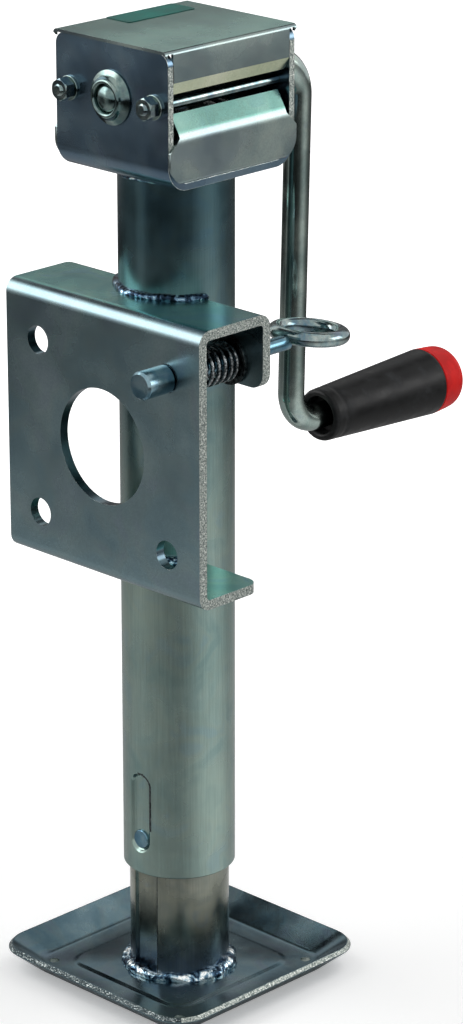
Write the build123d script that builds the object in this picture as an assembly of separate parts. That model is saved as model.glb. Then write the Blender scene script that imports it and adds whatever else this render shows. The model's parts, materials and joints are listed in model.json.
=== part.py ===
from build123d import *
import os
from math import acos, atan2, cos, degrees, hypot, pi, radians, sin, sqrt, tan

# Trailer prop stand: a screw jack leg that is wound down by a side crank, on a bolt-on mount plate.
# Frame: millimetres, +Z up. The origin is on the tube axis, in the plane that the foot rests on.
# The mount plate faces -Y, the crank is on the +Y side, and the lock pin is at the +X end of the plate.

# Tubes
tube_od = 57.0
tube_wall = 2.4
tube_length = 365.0
tube_bottom_z = 62.0
leg_od = 50.8
leg_wall = 2.5
leg_head_gap = 8.0
groove_width = 15.0
groove_depth = 2.8
groove_edge_radius = 0.7
travel = 230.0

# Guide recess pressed into the outer tube, and the key plug in it
recess_width = 12.6
recess_length = 42.0
recess_bottom_z = 74.0
recess_depth = 1.6
key_diameter = 10.0
key_gap = 0.5

# Foot pan
foot_rim_size = 136.0
foot_flare = 13.0
foot_height = 14.0
foot_sheet = 3.0
foot_corner_radius = 18.0
foot_pad_size = 82.0
foot_pad_rise = 1.0
foot_pad_radius = 8.0
foot_hole_diameter = 5.0
foot_hole_spacing = 92.0
foot_weld_leg = 4.8
weld_crown = 0.62

# Mount plate: a channel with the tube set into its open side
plate_width = 133.4
plate_height = 139.8
plate_bottom_z = 227.6
plate_sheet = 5.0
plate_bend = 7.0
plate_front_y = -51.5
top_flange_rear_y = -6.0
bottom_flange_rear_y = -10.3
tab_rear_y = -3.5
tab_left_x = 31.0
tab_margin = 11.0
tab_corner_radius = 8.0
flange_corner_radius = 7.0
hole_spacing = 88.9
hole_diameter = 14.5
hole_centre_drop = 1.5
pivot_diameter = 58.5
weld_gap = 0.1
bracket_weld_leg = 4.2

# Lock pin, its spring and its pull ring
pin_diameter = 14.0
pin_reach = 17.5
pin_chamfer = 1.6
pin_groove_width = 2.0
pin_groove_depth = 0.8
pin_pull = 17.5
pin_end_gap = 2.0
shank_diameter = 10.0
collar_diameter = 22.0
collar_length = 5.0
collar_gap = 0.2
collar_pin_diameter = 4.0
seat_diameter = 24.5
seat_thickness = 2.0
spring_wire = 1.8
spring_diameter = 20.0
spring_turns = 6
spring_end_gap = 0.15
ring_rod = 7.5
ring_radius = 16.6
ring_centre_y = 48.5
ring_droop = 6.5

# Gear head: a folded frame, a lower cover and a lid
head_width = 76.0
head_depth = 85.0
head_height = 68.0
frame_sheet = 3.5
frame_bend = 12.5
frame_corner_radius = 6.0
cover_sheet = 1.5
cover_bend = 2.2
lid_overhang = 1.5
lid_flange_drop = 15.5
lid_lip_in = 2.5
lid_lip_down = 6.0
lid_side_gap = 0.3
lid_corner_cut = 5.0
lid_side_cut = 12.0
lower_flange_rise = 22.5
lower_lip_in = 6.5
lower_lip_up = 10.5
lower_corner_radius = 10.5
lower_corner_cut = 6.5
head_weld_leg = 4.0
label_length = 45.0
label_width = 16.5
label_thickness = 0.3
label_corner_radius = 1.5
label_x = -27.8
label_y = 11.0
bolt_diameter = 6.0
bolt_spacing = 57.0
bolt_end = 1.2
bolt_head_height = 4.0
nut_across_flats = 10.0
nut_height = 6.0
hex_rim_step = 0.1
hex_chamfer_angle = 30.0
washer_diameter = 12.0
washer_thickness = 1.2
bolt_hole_gap = 0.2

# Crank
crank_axis_drop = 27.7
rod_diameter = 13.5
rod_front_reach = 5.6
arm_top_y = 85.8
arm_low_y = 81.0
crank_radius = 191.3
top_bend_radius = 20.0
low_bend_radius = 17.0
rod_end_y = 180.0
bush_wall = 3.2
bush_rim_diameter = 26.5
bush_nose_diameter = 21.5
bush_nose_recess = 2.4
bush_front_length = 5.2
bush_rear_length = 3.0
bush_rear_recess = 1.0
bush_rear_nose_diameter = 24.5
bush_inside_length = 2.0
bush_slope = 0.3

# Grip
grip_start_y = 101.5
grip_length = 83.0
grip_near_diameter = 27.0
grip_far_diameter = 35.5
grip_end_diameter = 33.8
grip_mouth_diameter = 20.0
grip_mouth_depth = 8.0
grip_edge_radius = 2.5
grip_belly = 0.88
cap_length = 16.5
cap_edge_radius = 7.5
cap_spigot_length = 4.0
cap_wall = 2.6
retainer_diameter = 21.0
retainer_thickness = 1.8
retainer_gap = 0.4

# Bevel gears and lead screw
gear_module = 2.0
pinion_teeth = 16
gear_teeth = 24
pressure_angle = 20.0
gear_face_width = 10.0
gear_backlash = 0.3
addendum_share = 0.9
dedendum_share = 1.25
gear_hub_diameter = 30.0
pinion_hub_diameter = 24.0
hub_pin_diameter = 4.5
hub_step = 0.5
cross_pin_trim = 0.6
tooth_root_bite = 0.3
screw_diameter = 16.0
screw_tail = 8.0
screw_top_gap = 4.5
screw_collar_diameter = 32.0
screw_collar_length = 6.0
stop_diameter = 30.0
stop_thickness = 4.5
stop_gap = 0.5
stop_pin_diameter = 4.0
stop_pin_length = 26.0
screw_bush_wall = 2.0
screw_bush_flange = 30.0
screw_bush_flange_thickness = 1.5
race_diameter = 36.0
race_thickness = 2.0
ball_diameter = 4.0
ball_count = 14
ball_circle_diameter = 27.0
cage_thickness = 1.6
cage_width = 6.0
nut_length = 20.0

# Clearances, and how far a cutting shape runs past the face that it cuts
running = 0.06
axial = 0.2
slip = 0.1
past = 1.0

# Places that follow from the sizes above
tube_r = tube_od / 2
tube_bore_r = tube_r - tube_wall
leg_r = leg_od / 2
leg_bore_r = leg_r - leg_wall
groove_floor_r = leg_r - groove_depth
groove_back_r = groove_floor_r - leg_wall
plate_top_z = plate_bottom_z + plate_height
plate_back_y = plate_front_y + plate_sheet
hole_centre_z = plate_bottom_z + plate_height / 2 - hole_centre_drop
tab_front_y = tab_rear_y - plate_sheet
pin_shoulder_y = tab_front_y - seat_thickness - pin_pull - pin_end_gap
pin_x = hole_spacing / 2
pin_z = hole_centre_z + hole_spacing / 2
tab_bottom_z = pin_z - tab_margin
head_bottom_z = tube_bottom_z + tube_length
head_top_z = head_bottom_z + head_height
head_front_y = -head_depth / 2
head_rear_y = head_depth / 2
head_floor_z = head_bottom_z + frame_sheet
frame_top_z = head_top_z - cover_sheet
crank_axis_z = head_top_z - crank_axis_drop
bolt_z = crank_axis_z
rod_r = rod_diameter / 2
rod_front_y = head_front_y - rod_front_reach
grip_z = crank_axis_z - crank_radius
gear_pitch_r = gear_module * gear_teeth / 2
pinion_pitch_r = gear_module * pinion_teeth / 2
screw_r = screw_diameter / 2
ball_centre_z = head_bottom_z - race_thickness - ball_diameter / 2 - slip / 2
lower_race_top_z = ball_centre_z - ball_diameter / 2 - slip / 2
collar_top_z = lower_race_top_z - race_thickness
leg_top_z = collar_top_z - screw_collar_length - leg_head_gap
nut_bottom_z = leg_top_z - nut_length
stop_top_z = nut_bottom_z - travel - stop_gap
screw_bottom_z = stop_top_z - stop_thickness - screw_tail
gear_bottom_z = head_floor_z + screw_bush_flange_thickness + axial

UP = (Align.CENTER, Align.CENTER, Align.MIN)


def along_y(x, y, z):
    """A place at (x, y, z) whose own +Z points along the object's +Y."""
    return Location(Plane(origin=(x, y, z), x_dir=(1, 0, 0), z_dir=(0, 1, 0)))


def rod_y(radius, y_from, y_to, x=0.0, z=0.0):
    """A round bar along Y."""
    return along_y(x, y_from, z) * Cylinder(radius, y_to - y_from, align=UP)


def rod_x(radius, length, y, z, x=0.0):
    """A round bar along X, centred on x."""
    return Pos(x, y, z) * Rot(0, 90, 0) * Cylinder(radius, length)


def pipe(outer_r, inner_r, z_from, z_to):
    """A round pipe along Z on the tube axis."""
    height = z_to - z_from
    return Pos(0, 0, z_from) * (Cylinder(outer_r, height, align=UP) - Cylinder(inner_r, height, align=UP))


def block(x, y, z):
    """A box from three (low, high) pairs."""
    size = [high - low for low, high in (x, y, z)]
    centre = [(high + low) / 2 for low, high in (x, y, z)]
    return Pos(*centre) * Box(*size)


def turned(points):
    """A solid of revolution about Z from (radius, height) points."""
    return revolve(make_face(Plane.XZ * Polyline(*points, close=True)), Axis.Z)


def mitred(points, thickness):
    """The same open line, moved to its left by thickness, with its corners mitred."""
    moved = []
    last = len(points) - 1
    for i, (px, py) in enumerate(points):
        ahead = points[min(i + 1, last)], points[min(i, last - 1)]
        behind = points[max(i, 1)], points[max(i - 1, 0)]
        normals = []
        for (bx, by), (ax, ay) in (ahead, behind):
            length = hypot(bx - ax, by - ay)
            normals.append((-(by - ay) / length, (bx - ax) / length))
        nx, ny = normals[0][0] + normals[1][0], normals[0][1] + normals[1][1]
        scale = 2 * thickness / (nx * nx + ny * ny)
        moved.append((px + nx * scale, py + ny * scale))
    return moved


def folded(points, thickness, bend):
    """A bent sheet's section: the line through points is one face, the sheet lies to its left."""
    other = mitred(points, thickness)
    section = make_face(Polyline(*points, *reversed(other), close=True))
    for i in range(1, len(points) - 1):
        (ax, ay), (bx, by), (cx, cy) = points[i - 1 : i + 2]
        left_turn = (bx - ax) * (cy - by) - (by - ay) * (cx - bx) > 0
        radii = (bend, bend - thickness) if left_turn else (bend - thickness, bend)
        for (x, y), radius in zip((points[i], other[i]), radii):
            corner = section.vertices().sort_by_distance((x, y, 0))[0]
            section = fillet(corner, radius)
    return section


def extruded_x(section, x_from, x_to):
    """A section drawn as (y, z), carried along X."""
    plane = Plane(origin=(x_from, 0, 0), x_dir=(0, 1, 0), z_dir=(1, 0, 0))
    return extrude(plane * section, x_to - x_from)


def extruded_y(section, y_from, y_to):
    """A section drawn as (x, z), carried along Y."""
    plane = Plane(origin=(0, y_from, 0), x_dir=(1, 0, 0), z_dir=(0, -1, 0))
    return extrude(plane * section, -(y_to - y_from))


def area(x, y, rounded=0.0, corners="all"):
    """A rectangle from two (low, high) pairs. Its corners are rounded, or only its low or high ones in y."""
    face = Pos((x[0] + x[1]) / 2, (y[0] + y[1]) / 2) * Rectangle(x[1] - x[0], y[1] - y[0])
    if not rounded:
        return face
    by_height = face.vertices().sort_by(Axis.Y)
    chosen = {"all": by_height, "low": by_height[:2], "high": by_height[2:]}[corners]
    return fillet(chosen, rounded)


# Tubes and guide


def recess_prism(width, length, middle_z):
    """An oblong along Z that reaches from the tube axis out through its front side."""
    plane = Plane(origin=(0, 0, middle_z), x_dir=(0, 0, 1), z_dir=(0, -1, 0))
    return extrude(plane * SlotOverall(length, width), tube_od)


def make_outer_tube():
    tube = pipe(tube_r, tube_bore_r, tube_bottom_z, head_bottom_z)
    outer_ring = tube.edges().filter_by(GeomType.CIRCLE).group_by(Axis.Z)[0].sort_by(SortBy.RADIUS)[-1]
    tube = chamfer(outer_ring, tube_wall / 3)
    middle = recess_bottom_z + recess_length / 2
    height = recess_length * 2
    floor_r = tube_r - recess_depth
    core = Pos(0, 0, middle) * Cylinder(floor_r, height)
    tube -= recess_prism(recess_width, recess_length, middle) - core
    swell = Pos(0, 0, middle) * (
        Cylinder(tube_bore_r + slip, height) - Cylinder(floor_r - tube_wall, height)
    )
    tube += recess_prism(recess_width - tube_wall, recess_length - tube_wall, middle) & swell
    hole = rod_y(key_diameter / 2 + slip, -tube_od, 0, z=recess_bottom_z + recess_width / 2)
    return tube - hole


def make_guide_key():
    key_z = recess_bottom_z + recess_width / 2
    key = rod_y(key_diameter / 2, -(tube_r - recess_depth / 2), -(groove_floor_r + key_gap), z=key_z)
    rim = key.edges().filter_by(GeomType.CIRCLE).sort_by(Axis.Y)[0]
    return chamfer(rim, key_gap)


def grooved_bar(radius, width, depth, height):
    """A round bar with a groove along its -Y side, the groove's outer edges rounded."""
    bar = Cylinder(radius, height, align=UP)
    bar -= block((-width / 2, width / 2), (-2 * radius, depth - radius), (-past, height + past))
    outer_edges = bar.edges().filter_by(Axis.Z).sort_by(Axis.Y)[:2]
    return fillet(outer_edges, groove_edge_radius)


def leg_core(height, clear=0.0):
    """The hollow inside the leg, flat behind its groove."""
    core = Cylinder(leg_bore_r - clear, height, align=UP)
    return core - block((-leg_od, leg_od), (-leg_od, clear - groove_back_r), (-past, height + past))


def make_inner_tube():
    bottom_z = foot_sheet + foot_pad_rise
    height = leg_top_z - bottom_z
    tube = grooved_bar(leg_r, groove_width, groove_depth, height)
    return Pos(0, 0, bottom_z) * (tube - leg_core(height))


def make_lead_nut():
    nut = leg_core(nut_length, running) - Cylinder(screw_r + running, nut_length, align=UP)
    return Pos(0, 0, nut_bottom_z) * nut


# Foot


def pan_shape(inset, z_from, z_to):
    """The flared block between two heights, its sides moved inwards by inset."""
    faces = []
    for z in (z_from, z_to):
        size = foot_rim_size - 2 * foot_flare * (foot_height - z) / foot_height - 2 * inset
        radius = foot_corner_radius - foot_flare * (foot_height - z) / foot_height - inset / 2
        faces.append(Pos(0, 0, z) * RectangleRounded(size, size, radius))
    return loft(faces)


def make_foot_plate():
    lean = atan2(foot_flare, foot_height)
    pan = pan_shape(0, 0, foot_height)
    hollow = pan_shape(foot_sheet / cos(lean), foot_sheet, foot_height)
    pad = extrude(RectangleRounded(foot_pad_size, foot_pad_size, foot_pad_radius), foot_pad_rise)
    plate = pan - hollow + Pos(0, 0, foot_sheet) * pad
    holes = GridLocations(foot_hole_spacing, foot_hole_spacing, 2, 2)
    return plate - holes * Cylinder(foot_hole_diameter / 2, 4 * foot_sheet)


def ring_weld(inner_r, leg, z, up=True):
    """A fillet bead round a tube where it meets a plate at height z."""
    way = 1 if up else -1
    crown = leg * weld_crown
    line = Polyline((inner_r, z), (inner_r + leg, z)) + ThreePointArc(
        (inner_r + leg, z), (inner_r + crown, z + way * crown), (inner_r, z + way * leg)
    ) + Polyline((inner_r, z + way * leg), (inner_r, z))
    return revolve(make_face(Plane.XZ * line), Axis.Z)


def make_foot_weld():
    return ring_weld(leg_r, foot_weld_leg, foot_sheet + foot_pad_rise)


# Mount plate


def make_mount_bracket():
    half = plate_width / 2
    outline = area((plate_front_y, tab_rear_y), (plate_bottom_z, plate_top_z), plate_bend)
    hollow = area(
        (plate_back_y, tab_front_y),
        (plate_bottom_z + plate_sheet, plate_top_z - plate_sheet),
        plate_bend - plate_sheet,
    )
    channel = extruded_x(outline - hollow, -half, half)
    upper = area((-half, half), (plate_front_y, top_flange_rear_y), flange_corner_radius, "high")
    upper += area((tab_left_x, half), (plate_front_y, tab_rear_y))
    lower = area((-half, half), (plate_front_y, bottom_flange_rear_y), flange_corner_radius, "high")
    keep = Pos(0, 0, hole_centre_z) * extrude(upper, plate_height)
    keep += Pos(0, 0, hole_centre_z - plate_height) * extrude(lower, plate_height)
    bracket = channel & keep
    below_top = plate_top_z - plate_bend
    tab = extruded_y(
        area((tab_left_x, half), (tab_bottom_z, plate_top_z), tab_corner_radius, "low"),
        plate_back_y + plate_bend,
        0,
    )
    rear = block((-half, half), (tab_front_y - past, 0), (plate_bottom_z + plate_bend, below_top))
    bracket -= rear - tab
    bracket -= Pos(0, 0, hole_centre_z) * Cylinder(tube_r + weld_gap, 2 * plate_height)
    through = (plate_front_y - past, plate_back_y + past)
    for x, z in ((-1, -1), (-1, 1), (1, -1)):
        bracket -= rod_y(
            hole_diameter / 2, *through, x * pin_x, hole_centre_z + z * hole_spacing / 2
        )
    bracket -= rod_y(pin_diameter / 2 + running, *through, pin_x, pin_z)
    bracket -= rod_y(pivot_diameter / 2, *through, 0, hole_centre_z)
    shank_hole_r = shank_diameter / 2 + running
    bracket -= rod_y(shank_hole_r, tab_front_y - past, tab_rear_y + past, pin_x, pin_z)
    return bracket


def bracket_weld(z, rear_y):
    """A bead round the front of the tube, as far back as the flange beside it."""
    ring = ring_weld(tube_r, bracket_weld_leg, z)
    reach = tube_od
    return ring & block((-reach, reach), (-reach, rear_y), (z - past, z + bracket_weld_leg + past))


def make_bracket_weld_top():
    return bracket_weld(plate_top_z, top_flange_rear_y)


def make_bracket_weld_bottom():
    return bracket_weld(plate_bottom_z + plate_sheet, bottom_flange_rear_y)


# Lock pin


def make_pull_ring():
    return Pos(pin_x, ring_centre_y, pin_z) * Rot(-ring_droop, 0, 0) * Torus(ring_radius, ring_rod / 2)


def make_lock_pin():
    tip_y = plate_front_y - pin_reach
    groove_start = plate_front_y - pin_groove_width / 2
    groove_end = groove_start + pin_groove_width
    pin = rod_y(pin_diameter / 2, tip_y, groove_start, pin_x, pin_z)
    tip = pin.edges().filter_by(GeomType.CIRCLE).sort_by(Axis.Y)[0]
    pin = chamfer(tip, pin_chamfer)
    pin += rod_y(pin_diameter / 2 - pin_groove_depth, groove_start, groove_end, pin_x, pin_z)
    pin += rod_y(pin_diameter / 2, groove_end, pin_shoulder_y, pin_x, pin_z)
    pin += rod_y(shank_diameter / 2, pin_shoulder_y, ring_centre_y - ring_radius, pin_x, pin_z)
    return pin - make_pull_ring() - collar_pin_bar(collar_pin_diameter / 2, pin_diameter + past)


def collar_front_y():
    return plate_back_y + collar_gap


def collar_pin_bar(radius, length):
    """The cross pin through the middle of the collar, along Z."""
    return Pos(pin_x, collar_front_y() + collar_length / 2, pin_z) * Cylinder(radius, length)


def make_pin_collar():
    front = collar_front_y()
    rear = front + collar_length
    collar = rod_y(collar_diameter / 2, front, rear, pin_x, pin_z)
    collar -= rod_y(pin_diameter / 2 + slip / 2, front - past, rear + past, pin_x, pin_z)
    return collar - collar_pin_bar(collar_pin_diameter / 2, collar_diameter + past)


def make_collar_pin():
    return collar_pin_bar(collar_pin_diameter / 2 - running / 2, collar_diameter - cross_pin_trim)


def make_spring_seat():
    front = tab_front_y - seat_thickness
    seat = rod_y(seat_diameter / 2, front, tab_front_y, pin_x, pin_z)
    return seat - rod_y(shank_diameter / 2 + slip * 2, front - past, 0, pin_x, pin_z)


def make_lock_spring():
    start = collar_front_y() + collar_length + spring_wire / 2 + spring_end_gap
    end = tab_front_y - seat_thickness - spring_wire / 2 - spring_end_gap
    coil_r = (spring_diameter - spring_wire) / 2
    path = Helix((end - start) / spring_turns, end - start, coil_r)
    wire = sweep(Plane(path @ 0, z_dir=path % 0) * Circle(spring_wire / 2), path=path)
    return along_y(pin_x, start, pin_z) * wire


# Gear head sheets


def make_gear_housing():
    line = [
        (head_front_y, frame_top_z),
        (head_front_y, head_bottom_z),
        (head_rear_y, head_bottom_z),
        (head_rear_y, frame_top_z),
    ]
    half = head_width / 2
    through = (head_front_y - past, head_rear_y + past)
    frame = extruded_x(folded(line, frame_sheet, frame_bend), -half, half)
    outline = area((-half, half), (head_bottom_z - past, frame_top_z), frame_corner_radius, "high")
    frame &= extruded_y(outline, *through)
    frame -= rod_y(rod_r + bush_wall, *through, 0, crank_axis_z)
    for x in bolt_places():
        frame -= rod_y(bolt_diameter / 2 + bolt_hole_gap, *through, x, bolt_z)
    return frame - Pos(0, 0, head_floor_z) * Cylinder(screw_r + screw_bush_wall, 4 * frame_sheet)


def make_housing_weld():
    return ring_weld(tube_r, head_weld_leg, head_bottom_z, up=False)


def make_lid():
    half = head_width / 2
    flange_low = head_top_z - lid_flange_drop
    lip_end = (half - lid_lip_in, flange_low - lid_lip_down)
    line = [
        (-lip_end[0], lip_end[1]),
        (-half, flange_low),
        (-half, head_top_z),
        (half, head_top_z),
        (half, flange_low),
        lip_end,
    ]
    section = folded(line[::-1], cover_sheet, cover_bend)
    inside = head_depth / 2 - frame_sheet - lid_side_gap
    reach = head_depth / 2 + lid_overhang
    lid = extruded_y(section, -reach, reach)
    corner_z = head_top_z - cover_bend
    cut_low_z = lip_end[1] - cover_sheet - past
    cut_end = reach + past
    for way in (-1, 1):
        beyond_y = sorted((way * inside, way * cut_end))
        lid -= block((-half - past, half + past), beyond_y, (cut_low_z, corner_z - lid_corner_cut))
        under_y = sorted((way * (inside - past), way * cut_end))
        lid -= block((-half + cover_bend, half - cover_bend), under_y, (cut_low_z, frame_top_z))
        corner = make_face(
            Polyline(
                (way * inside, corner_z - lid_corner_cut),
                (way * cut_end, corner_z - lid_corner_cut),
                (way * cut_end, corner_z + cut_end - inside - lid_corner_cut),
                close=True,
            )
        )
        lid -= extruded_x(corner, -half - past, half + past)
        plate_y = sorted((way * (head_depth / 2 - frame_sheet), way * head_depth / 2))
        for side in (-1, 1):
            side_x = sorted((side * (half - lid_side_cut), side * (half + past)))
            lid -= block(side_x, plate_y, (cut_low_z, frame_top_z))
    return lid


def make_lower_cover():
    inner_half = head_width / 2
    outer_half = inner_half + cover_sheet
    top = head_floor_z + lower_flange_rise
    lip_end = (outer_half - lower_lip_in, top + lower_lip_up)
    line = [
        lip_end,
        (outer_half, top),
        (outer_half, head_floor_z),
        (-outer_half, head_floor_z),
        (-outer_half, top),
        (-lip_end[0], lip_end[1]),
    ]
    section = folded(line[::-1], cover_sheet, cover_bend)
    reach = head_depth / 2
    cover = extruded_y(section, -reach, reach)
    web_reach = reach - frame_bend
    lip_reach = reach - lower_corner_cut
    cut_end = reach + past
    cut_top_z = lip_end[1] + cover_sheet + past
    between = (-inner_half, inner_half)
    for way in (-1, 1):
        bend_y = sorted((way * web_reach, way * cut_end))
        cover -= block(between, bend_y, (head_floor_z - past, top - lower_corner_cut))
        plate_y = sorted((way * (reach - frame_sheet - lid_side_gap), way * cut_end))
        cover -= block(between, plate_y, (head_floor_z - past, cut_top_z))
        corner = make_face(
            Polyline(
                (way * lip_reach, cut_top_z),
                (way * lip_reach, top),
                (way * cut_end, top - lower_corner_cut - past),
                (way * cut_end, cut_top_z),
                close=True,
            )
        )
        cover -= extruded_x(corner, -outer_half - past, outer_half + past)
    outline = area((-reach, reach), (head_floor_z, head_top_z), lower_corner_radius, "low")
    cover &= extruded_x(outline, -outer_half - past, outer_half + past)
    flange_r = screw_bush_flange / 2 + slip
    return cover - Pos(0, 0, head_floor_z) * Cylinder(flange_r, 4 * cover_sheet)


def make_lid_label():
    shape = RectangleRounded(label_width, label_length, label_corner_radius)
    return Pos(label_x, label_y, head_top_z) * extrude(shape, label_thickness)


# Fasteners


def hexagon(across_flats, height, bore_r=0.0):
    """A hex block with both rims chamfered, standing on its own XY plane."""
    prism = extrude(RegularPolygon(across_flats / 2, 6, major_radius=False), height)
    corner = across_flats / sqrt(3)
    rim = across_flats / 2 - hex_rim_step
    slope = (corner - rim) * tan(radians(hex_chamfer_angle))
    round_part = turned(
        [(0, 0), (rim, 0), (corner, slope), (corner, height - slope), (rim, height), (0, height)]
    )
    solid = prism & round_part
    if bore_r:
        solid -= Cylinder(bore_r, height, align=UP)
    return solid


def bolt_places():
    return [side * bolt_spacing / 2 for side in (-1, 1)]


def nut_front_y():
    return head_front_y - washer_thickness - nut_height


def make_cover_bolts():
    bolts = []
    for x in bolt_places():
        shank = rod_y(bolt_diameter / 2, nut_front_y() - bolt_end, head_rear_y, x, bolt_z)
        tip = shank.edges().filter_by(GeomType.CIRCLE).sort_by(Axis.Y)[0]
        bolt = chamfer(tip, bolt_end / 2)
        bolt += along_y(x, head_rear_y, bolt_z) * hexagon(nut_across_flats, bolt_head_height)
        bolts.append(bolt)
    return Compound(children=bolts)


def make_cover_nuts():
    bore = bolt_diameter / 2 + slip / 2
    return Compound(
        children=[
            along_y(x, nut_front_y(), bolt_z) * hexagon(nut_across_flats, nut_height, bore)
            for x in bolt_places()
        ]
    )


def make_cover_washers():
    bore = bolt_diameter / 2 + slip
    front = head_front_y - washer_thickness
    return Compound(
        children=[
            rod_y(washer_diameter / 2, front, head_front_y, x, bolt_z)
            - rod_y(bore, front - past, head_front_y + past, x, bolt_z)
            for x in bolt_places()
        ]
    )


# Shaft bushes


def bush(outside_length, nose_diameter, recess, inside):
    """A flanged bush, its flange from height 0 down to the plate, its sleeve through the plate."""
    bore = rod_r + running
    rim = bush_rim_diameter / 2
    nose = nose_diameter / 2
    sleeve = rod_r + bush_wall - running / 2
    points = [
        (bore, outside_length - recess),
        (nose - recess / 2, outside_length),
        (nose, outside_length),
        (rim, outside_length * bush_slope),
        (rim, 0),
        (sleeve, 0),
        (sleeve, -inside),
        (bore, -inside),
    ]
    return turned(points)


def make_front_bush():
    place = Location(Plane(origin=(0, head_front_y, crank_axis_z), x_dir=(1, 0, 0), z_dir=(0, -1, 0)))
    inside = frame_sheet + bush_inside_length
    return place * bush(bush_front_length, bush_nose_diameter, bush_nose_recess, inside)


def make_rear_bush():
    place = along_y(0, head_rear_y, crank_axis_z)
    return place * bush(bush_rear_length, bush_rear_nose_diameter, bush_rear_recess, frame_sheet)


def make_screw_bush():
    bore = screw_r + running
    sleeve = screw_r + screw_bush_wall - running / 2
    flange = screw_bush_flange / 2
    floor = head_floor_z
    points = [
        (bore, head_bottom_z),
        (sleeve, head_bottom_z),
        (sleeve, floor),
        (flange, floor),
        (flange, floor + screw_bush_flange_thickness),
        (bore, floor + screw_bush_flange_thickness),
    ]
    return turned(points)


# Bevel gears


def tooth_half_width(radius, virtual_r):
    """Half the thickness of an involute tooth at a radius of the gear's virtual spur gear."""
    base = virtual_r * cos(radians(pressure_angle))
    here = acos(min(1.0, base / max(radius, base)))
    pitch = radians(pressure_angle)
    turn = (tan(pitch) - pitch) - (tan(here) - here)
    thickness = pi * gear_module / 2 - gear_backlash
    return radius * (thickness / (2 * virtual_r) + turn)


def bevel_blank(pitch_r, cone, hub_r, hub_depth, bore):
    """The gear's body, its cone apex at the origin and its back towards -Z."""
    length = pitch_r / sin(cone)
    root = dedendum_share * gear_module
    points = []
    for share in ((length - gear_face_width) / length, 1.0):
        reach = length * share
        drop = root * share
        points.append((reach * sin(cone) - drop * cos(cone), -reach * cos(cone) - drop * sin(cone)))
    small, big = points
    back_r = big[0] - gear_module * sin(cone)
    back_z = big[1] - gear_module * cos(cone)
    hub_top = back_z - hub_step
    outline = [
        (bore, small[1]),
        small,
        big,
        (max(back_r, hub_r + hub_step), hub_top),
        (hub_r, hub_top),
        (hub_r, hub_depth),
        (bore, hub_depth),
    ]
    return turned(outline)


def bevel_teeth(pitch_r, cone, count, phase):
    """Straight bevel teeth that narrow towards the apex, as separate solids."""
    length = pitch_r / sin(cone)
    virtual_r = pitch_r / cos(cone)
    add = addendum_share * gear_module
    root = dedendum_share * gear_module
    levels = [-root - tooth_root_bite, -root, -root / 2, 0.0, add / 2, add]
    widths = [tooth_half_width(virtual_r + max(h, -root), virtual_r) for h in levels]

    def end_face(share):
        corners = []
        for h, w in zip(levels, widths):
            r = length * sin(cone) + h * cos(cone)
            z = -length * cos(cone) + h * sin(cone)
            corners.append((r * share, w * share, z * share))
        mirror = [(r, -w, z) for r, w, z in reversed(corners)]
        return make_face(Polyline(*corners, *mirror, close=True))

    tooth = loft([end_face(1.0), end_face((length - gear_face_width) / length)], ruled=True)
    return [Rot(0, 0, phase + 360 * i / count) * tooth for i in range(count)]


def bevel_gear(pitch_r, cone, count, phase, hub_r, hub_depth, bore):
    gear = bevel_blank(pitch_r, cone, hub_r, hub_depth, bore)
    return gear + bevel_teeth(pitch_r, cone, count, phase)


def make_bevel_gear():
    cone = atan2(gear_pitch_r, pinion_pitch_r)
    space_at_rear = 90 + 180 / gear_teeth
    gear = bevel_gear(
        gear_pitch_r,
        cone,
        gear_teeth,
        space_at_rear,
        gear_hub_diameter / 2,
        gear_bottom_z - crank_axis_z,
        screw_r + running / 2,
    )
    return Pos(0, 0, crank_axis_z) * gear - gear_pin_bar(hub_pin_diameter / 2)


def gear_pin_bar(radius):
    """The cross pin through the gear's hub and the screw."""
    return rod_x(radius, gear_hub_diameter - cross_pin_trim, 0, gear_bottom_z + hub_pin_diameter)


def make_gear_pin():
    return gear_pin_bar(hub_pin_diameter / 2 - running / 2)


def pinion_hub_end_y():
    return head_rear_y - frame_sheet - washer_thickness - axial


def pinion_place():
    """The apex of both cones, with the pinion's back towards +Y."""
    return Location(Plane(origin=(0, 0, crank_axis_z), x_dir=(0, 0, -1), z_dir=(0, -1, 0)))


def make_bevel_pinion():
    cone = atan2(pinion_pitch_r, gear_pitch_r)
    gear = bevel_gear(
        pinion_pitch_r,
        cone,
        pinion_teeth,
        0,
        pinion_hub_diameter / 2,
        -pinion_hub_end_y(),
        rod_r + running / 2,
    )
    return pinion_place() * gear - pinion_pin_bar(hub_pin_diameter / 2)


def pinion_pin_bar(radius):
    """The cross pin through the pinion's hub and the crank."""
    pin_y = pinion_hub_end_y() - hub_pin_diameter
    return rod_x(radius, pinion_hub_diameter - cross_pin_trim, pin_y, crank_axis_z)


def make_pinion_pin():
    return pinion_pin_bar(hub_pin_diameter / 2 - running / 2)


def make_pinion_washer():
    start = pinion_hub_end_y()
    end = start + washer_thickness
    washer = rod_y(pinion_hub_diameter / 2, start, end, 0, crank_axis_z)
    return washer - rod_y(rod_r + running / 2, start - past, end + past, 0, crank_axis_z)


# Lead screw and thrust bearing


def stop_pin_z():
    return stop_top_z - stop_thickness - stop_pin_diameter / 2


def make_lead_screw():
    top = crank_axis_z - rod_r - screw_top_gap
    screw = Pos(0, 0, screw_bottom_z) * Cylinder(screw_r, top - screw_bottom_z, align=UP)
    collar_bottom = collar_top_z - screw_collar_length
    screw += pipe(screw_collar_diameter / 2, screw_r - past, collar_bottom, collar_top_z)
    screw -= gear_pin_bar(hub_pin_diameter / 2)
    return screw - rod_x(stop_pin_diameter / 2, stop_diameter, 0, stop_pin_z())


def make_end_stop():
    return pipe(stop_diameter / 2, screw_r + running / 2, stop_top_z - stop_thickness, stop_top_z)


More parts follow.
